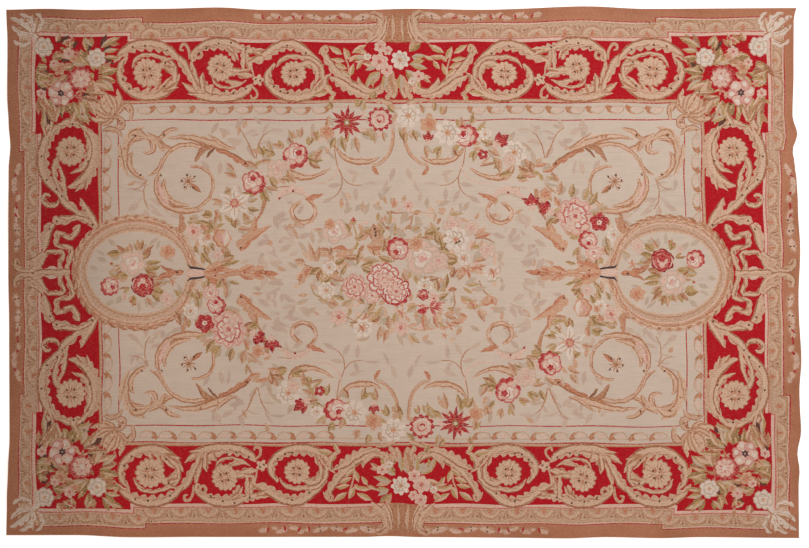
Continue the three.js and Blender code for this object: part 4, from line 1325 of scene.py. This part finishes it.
def on_floor(points):
    """Places in metres of points given in steps from the rug's middle, y up."""
    x, y = points[:, 0] * STEP, points[:, 1] * STEP
    along, over = 2 * x / LENGTH, 2 * y / WIDTH
    right, top = (1 + along) / 2, (1 + over) / 2
    square = [
        (1 - right) * (top * CORNERS["top_left"][k] + (1 - top) * CORNERS["bottom_left"][k])
        + right * (top * CORNERS["top_right"][k] + (1 - top) * CORNERS["bottom_right"][k])
        for k in (0, 1)
    ]
    near_side = ease(np.abs(along), 1 - SIDE_FADE, 1)
    near_end = ease(np.abs(over), 1 - END_FADE, 1)
    sideways = np.where(along < 0, -bulge(LEFT_EDGE, y), bulge(RIGHT_EDGE, y))
    upwards = np.where(over < 0, -bulge(BOTTOM_EDGE, x), bulge(TOP_EDGE, x))
    x = x + square[0] * MM + near_side * sideways
    y = y + square[1] * MM + near_end * upwards
    return np.stack([x, y], axis=1)


def lift(x, y):
    """Height of the sheet's underside above the floor."""
    def hump(distance, reach):
        return np.cos(np.minimum(np.abs(distance) / reach, 1) * math.pi / 2) ** 2
    height = 0.0
    for cx, cy, rx, ry, h in RIPPLES:
        height = height + h * MM * hump(x - cx * MM, rx * MM) * hump(y - cy * MM, ry * MM)
    return height


def from_cartoon(points):
    """Steps from the rug's middle, y up, of points on the cartoon."""
    u = points[:, 0] - MIDDLE[0]
    v = MIDDLE[1] - points[:, 1]
    lean = LEAN * np.clip(v / HALF_WIDE, 0, 1) * (1 - (u / HALF_LONG) ** 2)
    u = np.where(u > 0, u * RIGHT_STRETCH, u) + lean
    # a hand-woven line is never quite true: short waves first, then long ones
    sway = 0.3 * np.sin(0.61 * v + 2.3 * np.sin(0.13 * u))
    rise = 0.3 * np.sin(0.57 * u + 2.1 * np.sin(0.11 * v))
    u, v = u + sway, v + rise
    sway = 0.6 * np.sin(0.083 * v + 0.031 * u)
    rise = 0.5 * np.sin(0.071 * u - 0.043 * v)
    u, v = u + sway, v + rise
    limit = (HALF_LONG - 1, HALF_WIDE - 1)
    return np.stack([np.clip(u, -limit[0], limit[0]), np.clip(v, -limit[1], limit[1])], axis=1)


def linear(rgb):
    """A colour given as sRGB, from 0 to 255, in linear light."""
    share = np.array(rgb, float) / 255
    return np.where(share <= 0.04045, share / 12.92, ((share + 0.055) / 1.055) ** 2.4)


def inside(points, outline):
    """Which points lie within a closed outline, by its winding round them."""
    order = np.argsort(points[:, 1])
    heights = points[order, 1]
    ends = np.roll(outline, -1, axis=0)
    firsts = np.searchsorted(heights, np.minimum(outline[:, 1], ends[:, 1]))
    lasts = np.searchsorted(heights, np.maximum(outline[:, 1], ends[:, 1]))
    winding = np.zeros(len(points), int)
    for a, b, first, last in zip(outline, ends, firsts, lasts):
        if first < last:
            near = order[first:last]
            left = (b[0] - a[0]) * (points[near, 1] - a[1]) > (points[near, 0] - a[0]) * (b[1] - a[1])
            winding[near] += left if b[1] > a[1] else left - 1
    return winding != 0


def uppermost(points, outlines):
    """For each point, the last of the outlines that holds it, or -1."""
    owner = np.full(len(points), -1)
    order = np.argsort(points[:, 1])
    heights = points[order, 1]
    for k in reversed(range(len(outlines))):
        low, high = outlines[k].min(axis=0), outlines[k].max(axis=0)
        first, last = np.searchsorted(heights, [low[1], high[1]])
        near = order[first:last]
        near = near[(owner[near] < 0) & (points[near, 0] > low[0]) & (points[near, 0] < high[0])]
        if len(near):
            owner[near[inside(points[near], outlines[k])]] = k
    return owner


RIM_PITCH = 6  # steps from one point of the rim to the next
RIM_INSET = 0.3  # how far in from the edge the flat face ends, in steps
# Rows of points round the rim: how far out of the inset, as a share, and height as a share of the thickness
RIM_ROWS = [(0.55, 0.87), (1.0, 0.5), (0.55, 0.13)]
UNDER_STRIP = 0.06  # part of the map that the underside takes
MERGE = 0.37  # points nearer to each other than this become one
WOOL_JITTER = 0.03  # how far the dye of one area may be off, as a share
# Loose points near the edges, where the sheet ripples: pitch, half sizes of the grid and of its empty middle
FACE_GRID = (10, 390, 258, 330, 205)
UNDER_GRID = (12, 384, 252, 320, 200)


def loose_points(pitch, long, wide, bare_long, bare_wide):
    return [
        (x, y)
        for x in np.arange(-long, long + 1, pitch)
        for y in np.arange(-wide, wide + 1, pitch)
        if abs(x) > bare_long or abs(y) > bare_wide
    ]


def triangulate(points, edges):
    """Triangles over points, with the edges among them, and where each given point is among the vertices."""
    verts, _, faces, sources, *_ = delaunay_2d_cdt([Vector(p) for p in points], edges, [], 0, MERGE, True)
    found = {source: k for k, group in enumerate(sources) for source in group}
    return np.array([tuple(v) for v in verts]), np.array(faces), [found[k] for k in range(len(points))]


def ring(first, count):
    """The edges of a closed loop of points numbered from first."""
    return [(first + k, first + (k + 1) % count) for k in range(count)]


def mosaic(edge, outlines, loose):
    """The face's triangles and each one's outline. Edges hidden under a later outline are left out."""
    points, edges = list(edge), ring(0, len(edge))
    for outline in outlines:
        edges += ring(len(points), len(outline))
        points += outline.tolist()
    verts, faces, _ = triangulate(points, edges)
    owner = uppermost(verts[faces].mean(axis=1), outlines)
    sides = np.sort(np.vstack([faces[:, [0, 1]], faces[:, [1, 2]], faces[:, [2, 0]]]), axis=1)
    owners = np.tile(owner, 3)
    order = np.lexsort((sides[:, 1], sides[:, 0]))
    sides, owners = sides[order], owners[order]
    twin = (sides[1:] == sides[:-1]).all(axis=1)
    seen = sides[1:][twin & (owners[1:] != owners[:-1])]
    used, seen = np.unique(seen, return_inverse=True)
    points = list(edge) + verts[used].tolist() + loose
    edges = ring(0, len(edge)) + (seen.reshape(-1, 2) + len(edge)).tolist()
    verts, faces, places = triangulate(points, edges)
    return verts, faces, places[: len(edge)], uppermost(verts[faces].mean(axis=1), outlines)


def rim_loop():
    """The rug's edge as a loop of steps from its middle."""
    xs = np.linspace(-HALF_LONG, HALF_LONG, round(2 * HALF_LONG / RIM_PITCH) + 1)
    ys = np.linspace(-HALF_WIDE, HALF_WIDE, round(2 * HALF_WIDE / RIM_PITCH) + 1)
    bottom = [(x, -HALF_WIDE) for x in xs[:-1]]
    right = [(HALF_LONG, y) for y in ys[:-1]]
    top = [(x, HALF_WIDE) for x in xs[:0:-1]]
    left = [(-HALF_LONG, y) for y in ys[:0:-1]]
    return bottom + right + top + left


def dyed(wool, share=1.0):
    """A wool's colour in linear light, and how much hatching shows in it."""
    return np.append(linear(WOOL[wool]) * share, HATCHING.get(wool, 1.0))


def map_places(steps, first_under):
    """Places on the map: the face over most of it, the underside in a strip at its foot."""
    along = (steps[:, 0] + HALF_LONG) / (2 * HALF_LONG)
    over = (steps[:, 1] + HALF_WIDE) / (2 * HALF_WIDE)
    places = np.column_stack([along, over])
    places[:first_under, 1] = UNDER_STRIP + (1 - UNDER_STRIP) * places[:first_under, 1]
    places[first_under:, 1] *= 0.9 * UNDER_STRIP
    return places


def ripple_normals(x, y):
    """Normals of the sheet at places on it, from its ripples and not from the shapes of its triangles."""
    near = 0.001
    slope_x = (lift(x + near, y) - lift(x - near, y)) / (2 * near)
    slope_y = (lift(x, y + near) - lift(x, y - near)) / (2 * near)
    normals = np.column_stack([-slope_x, -slope_y, np.ones(len(x))])
    return normals / np.linalg.norm(normals, axis=1)[:, None]


def build_rug():
    edge = rim_loop()
    n = len(edge)
    shrink = np.array([1 - RIM_INSET / HALF_LONG, 1 - RIM_INSET / HALF_WIDE])
    inner_edge = [tuple(np.array(p) * shrink) for p in edge]
    outlines = [from_cartoon(outline if exact else ruled(outline)) for outline, _, exact in patches]
    top, faces, top_rim, owner = mosaic(inner_edge, outlines, loose_points(*FACE_GRID))
    wools = [dyed(wool, 1 + random.uniform(-WOOL_JITTER, WOOL_JITTER)) for _, wool, _ in patches]
    tone = np.array(wools + [dyed("terracotta")])[owner]
    under, under_faces, under_places = triangulate(inner_edge + loose_points(*UNDER_GRID), ring(0, n))

    # Vertices: top, the rows of the rounded rim, and underside
    rim_rows = [np.array(inner_edge) * (1 - out) + np.array(edge) * out for out, _ in RIM_ROWS]
    flat = [top] + rim_rows + [under]
    heights = [np.ones(len(top))] + [np.full(n, height) for _, height in RIM_ROWS] + [np.zeros(len(under))]
    steps = np.vstack(flat)
    placed = on_floor(steps)
    verts = np.column_stack([placed, lift(placed[:, 0], placed[:, 1]) + THICKNESS * np.concatenate(heights)])
    starts = np.cumsum([0] + [len(part) for part in flat])
    first_under = starts[-2]

    rows = [top_rim] + [list(range(start, start + n)) for start in starts[1:-2]]
    rows.append([first_under + k for k in under_places[:n]])
    walls = []
    for upper, lower in zip(rows, rows[1:]):
        for k in range(n):
            m = (k + 1) % n
            walls.append((upper[k], lower[k], lower[m]))
            walls.append((upper[k], lower[m], upper[m]))
    # The face comes last, because where two faces share a place on the map the last one is kept
    all_faces = np.vstack([under_faces[:, ::-1] + first_under, np.array(walls), faces])
    tones = np.vstack([np.tile(dyed("terracotta"), (len(walls) + len(under_faces), 1)), tone])

    mesh = bpy.data.meshes.new("woven_rug")
    mesh.from_pydata(verts.tolist(), [], all_faces.tolist())
    colour = mesh.color_attributes.new("wool", "FLOAT_COLOR", "CORNER")
    colour.data.foreach_set("color", np.repeat(tones, 3, axis=0).astype(np.float32).ravel())
    uv = mesh.uv_layers.new(name="OFBake")
    places = map_places(steps, first_under)
    uv.data.foreach_set("uv", places[all_faces.ravel()].astype(np.float32).ravel())
    mesh.polygons.foreach_set("use_smooth", [True] * len(all_faces))
    mesh.update()
    normals = np.array([v.normal for v in mesh.vertices])
    normals[: len(top)] = ripple_normals(verts[: len(top), 0], verts[: len(top), 1])
    mesh.normals_split_custom_set_from_vertices(normals.tolist())
    rug = bpy.data.objects.new("woven_rug", mesh)
    bpy.context.scene.collection.objects.link(rug)
    return rug


rug = build_rug()


# Wool
RIB = 0.0024  # from one warp to the next
BEAT = 0.0013  # from one weft to the next
WAVE_PITCH = 0.314  # from one band of a wave texture to the next, at scale 1
# Colours that are laid over the wools, as sRGB
PALE_PASS = (222, 196, 172)
DARK_PASS = (206, 176, 152)
FADED = (214, 190, 168)
SOIL = (204, 182, 158)


def wool_material():
    """Weft-faced wool: dyed areas with streaks of uneven dye, a speckle of yarns, ribs, soiled edges, and
    painted shade towards the left end.
    """
    material = bpy.data.materials.new("woven_wool")
    material.use_nodes = True
    tree = material.node_tree
    shader = tree.nodes["Principled BSDF"]

    def add(kind, inputs, **settings):
        node = tree.nodes.new("ShaderNode" + kind)
        for name, value in settings.items():
            setattr(node, name, value)
        for key, value in inputs.items():
            if isinstance(value, bpy.types.NodeSocket):
                tree.links.new(value, node.inputs[key])
            else:
                node.inputs[key].default_value = value
        return node

    def maths(operation, one, other=0.0):
        return add("Math", {0: one, 1: other}, operation=operation).outputs[0]

    def noise(stretch, detail=2.0):
        """Noise from 0 to 1 whose features are about 1 / stretch metres in size along x, y and z."""
        place = add("VectorMath", {0: place_on_rug, 1: stretch}, operation="MULTIPLY").outputs[0]
        inputs = {"Vector": place, "Scale": 1.0, "Detail": detail, "Roughness": 0.6}
        return add("TexNoise", inputs).outputs["Fac"]

    def bands(pitch, distortion, direction):
        inputs = {"Vector": place_on_rug, "Scale": WAVE_PITCH / pitch, "Distortion": distortion}
        return add("TexWave", inputs, bands_direction=direction).outputs["Fac"]

    def overlay(kind, share, under, rgb):
        """A plain colour over another, with a share from 0 to 1."""
        return blend(kind, share, under, (*linear(rgb), 1))

    def mapped(value, low, high, to_low, to_high):
        inputs = {"Value": value, "From Min": low, "From Max": high, "To Min": to_low, "To Max": to_high}
        return add("MapRange", inputs, interpolation_type="SMOOTHSTEP").outputs[0]

    def blend(kind, share, one, other):
        inputs = {"Factor": share, "A": one, "B": other}
        node = add("Mix", {}, data_type="RGBA", blend_type=kind)
        for socket in node.inputs:
            if socket.enabled and socket.name in inputs:
                value = inputs[socket.name]
                if isinstance(value, bpy.types.NodeSocket):
                    tree.links.new(value, socket)
                else:
                    socket.default_value = value
        return next(socket for socket in node.outputs if socket.enabled)

    place_on_rug = add("TexCoord", {}).outputs["Object"]
    split = add("SeparateXYZ", {0: place_on_rug})
    far_x = maths("ABSOLUTE", split.outputs["X"])
    far_y = maths("ABSOLUTE", split.outputs["Y"])

    # uneven dye: long streaks along the wefts, which turn with the side bands
    in_side_band = maths("GREATER_THAN", far_x, LENGTH / 2 - 0.1)
    level = mapped(noise((9, 300, 1)), 0.3, 0.7, -1, 1)
    upright = mapped(noise((300, 9, 1)), 0.3, 0.7, -1, 1)
    in_middle = maths("SUBTRACT", 1.0, in_side_band)
    streak = maths("ADD", maths("MULTIPLY", level, in_middle), maths("MULTIPLY", upright, in_side_band))
    speckle = mapped(noise((520, 520, 1), 1.0), 0.3, 0.7, -1, 1)
    # painted shade: the left end is darker, standing in for light that falls off towards it
    painted_left_shade = mapped(split.outputs["X"], -LENGTH / 2 + 0.1, -LENGTH / 2 + 0.48, 0.745, 1.0)
    patchy = mapped(noise((26, 26, 1), 3.0), 0.25, 0.75, -1, 1)
    broad = mapped(noise((2.6, 2.6, 1), 2.0), 0.3, 0.7, -1, 1)
    brightness = 1.0
    for part, amount in ((streak, 0.05), (speckle, 0.1), (patchy, 0.03), (broad, 0.025)):
        brightness = maths("ADD", brightness, maths("MULTIPLY", part, amount))
    # painted shade towards the left end, laid over the wool's brightness
    brightness = maths("MULTIPLY", brightness, painted_left_shade)
    grey = add("CombineXYZ", {0: brightness, 1: brightness, 2: brightness}).outputs[0]
    wool = add("Attribute", {}, attribute_name="wool")
    colour = blend("MULTIPLY", 1.0, wool.outputs["Color"], grey)
    # hatching: short passes of a paler and of a darker wool inside the motifs
    passes = noise((110, 300, 1), 1.0)
    paler = maths("MULTIPLY", wool.outputs["Alpha"], mapped(passes, 0.52, 0.62, 0, 0.3))
    darker = maths("MULTIPLY", wool.outputs["Alpha"], mapped(passes, 0.48, 0.38, 0, 0.34))
    colour = overlay("MIX", paler, colour, PALE_PASS)
    colour = overlay("MULTIPLY", darker, colour, DARK_PASS)
    # faded fibre tips, and soil in the outer hand's breadth
    faded = mapped(noise((60, 420, 1), 2.0), 0.56, 0.8, 0, 0.16)
    colour = overlay("MIX", faded, colour, FADED)
    at_end = mapped(far_x, LENGTH / 2 - 0.09, LENGTH / 2, 0, 1)
    at_side = mapped(far_y, WIDTH / 2 - 0.07, WIDTH / 2, 0, 1)
    at_edge = maths("MAXIMUM", at_end, at_side)
    soil = maths("MULTIPLY", at_edge, mapped(noise((7, 7, 1), 4.0), 0.35, 0.7, 0.1, 0.4))
    colour = overlay("MULTIPLY", soil, colour, SOIL)
    tree.links.new(colour, shader.inputs["Base Color"])

    # ribs over the warps and the beat of the wefts between them
    warps = bands(RIB, 0.6, "X")
    wefts = bands(BEAT, 1.5, "Y")
    fine = maths("ADD", maths("MULTIPLY", wefts, 0.25), maths("MULTIPLY", speckle, 0.3))
    height = maths("ADD", maths("MULTIPLY", warps, 0.5), fine)
    bump = add("Bump", {"Height": height, "Strength": 0.45, "Distance": 0.0006}).outputs[0]
    tree.links.new(bump, shader.inputs["Normal"])
    tree.links.new(mapped(speckle, -1, 1, 0.86, 0.97), shader.inputs["Roughness"])
    shader.inputs["Specular IOR Level"].default_value = 0.12
    shader.inputs["Sheen Weight"].default_value = 0.06
    shader.inputs["Sheen Roughness"].default_value = 0.6
    return material


rug.data.materials.append(wool_material())
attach(rug, "root")
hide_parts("rug")

# Floor, light and camera
FLOOR_REACH = 30
corners = [(-FLOOR_REACH, -FLOOR_REACH, 0), (FLOOR_REACH, -FLOOR_REACH, 0)]
corners += [(FLOOR_REACH, FLOOR_REACH, 0), (-FLOOR_REACH, FLOOR_REACH, 0)]
floor_mesh = bpy.data.meshes.new("floor")
floor_mesh.from_pydata(corners, [], [(0, 1, 2, 3)])
floor = bpy.data.objects.new("floor", floor_mesh)
floor_material = bpy.data.materials.new("pale_floor")
floor_material.use_nodes = True
floor_inputs = floor_material.node_tree.nodes["Principled BSDF"].inputs
floor_inputs["Base Color"].default_value = (0.92, 0.92, 0.92, 1)
floor_inputs["Roughness"].default_value = 0.9
floor_inputs["Emission Color"].default_value = (1, 1, 1, 1)
floor_inputs["Emission Strength"].default_value = 0.45
floor_mesh.materials.append(floor_material)
bpy.context.scene.collection.objects.link(floor)
floor.location.z = -0.0005

world = bpy.data.worlds.new("studio")
world.use_nodes = True
world.node_tree.nodes["Background"].inputs["Color"].default_value = (1, 0.83, 0.71, 1)
world.node_tree.nodes["Background"].inputs["Strength"].default_value = 0.64
bpy.context.scene.world = world

# one large softbox above the right half; the left half is darker and warmer
softbox_data = bpy.data.lights.new("softbox", "AREA")
softbox_data.shape = "RECTANGLE"
softbox_data.size = 1.8
softbox_data.size_y = 1.8
softbox_data.energy = 42
softbox_data.color = (0.86, 0.95, 1.0)
softbox = bpy.data.objects.new("softbox", softbox_data)
softbox.location = (0.8, 0.75, 2.6)
bpy.context.scene.collection.objects.link(softbox)

# The photo is 809 pixels wide, and one pixel is one step
PHOTO_WIDE = 809
SENSOR = 36
CAMERA_HEIGHT = 6.0
camera_data = bpy.data.cameras.new("camera")
camera_data.sensor_width = SENSOR
camera_data.lens = SENSOR * CAMERA_HEIGHT / (PHOTO_WIDE * STEP)
camera = bpy.data.objects.new("camera", camera_data)
camera.location = (0.5 * STEP, -1.0 * STEP, CAMERA_HEIGHT)
bpy.context.scene.collection.objects.link(camera)
bpy.context.scene.camera = camera
bpy.context.scene.view_settings.view_transform = "Standard"
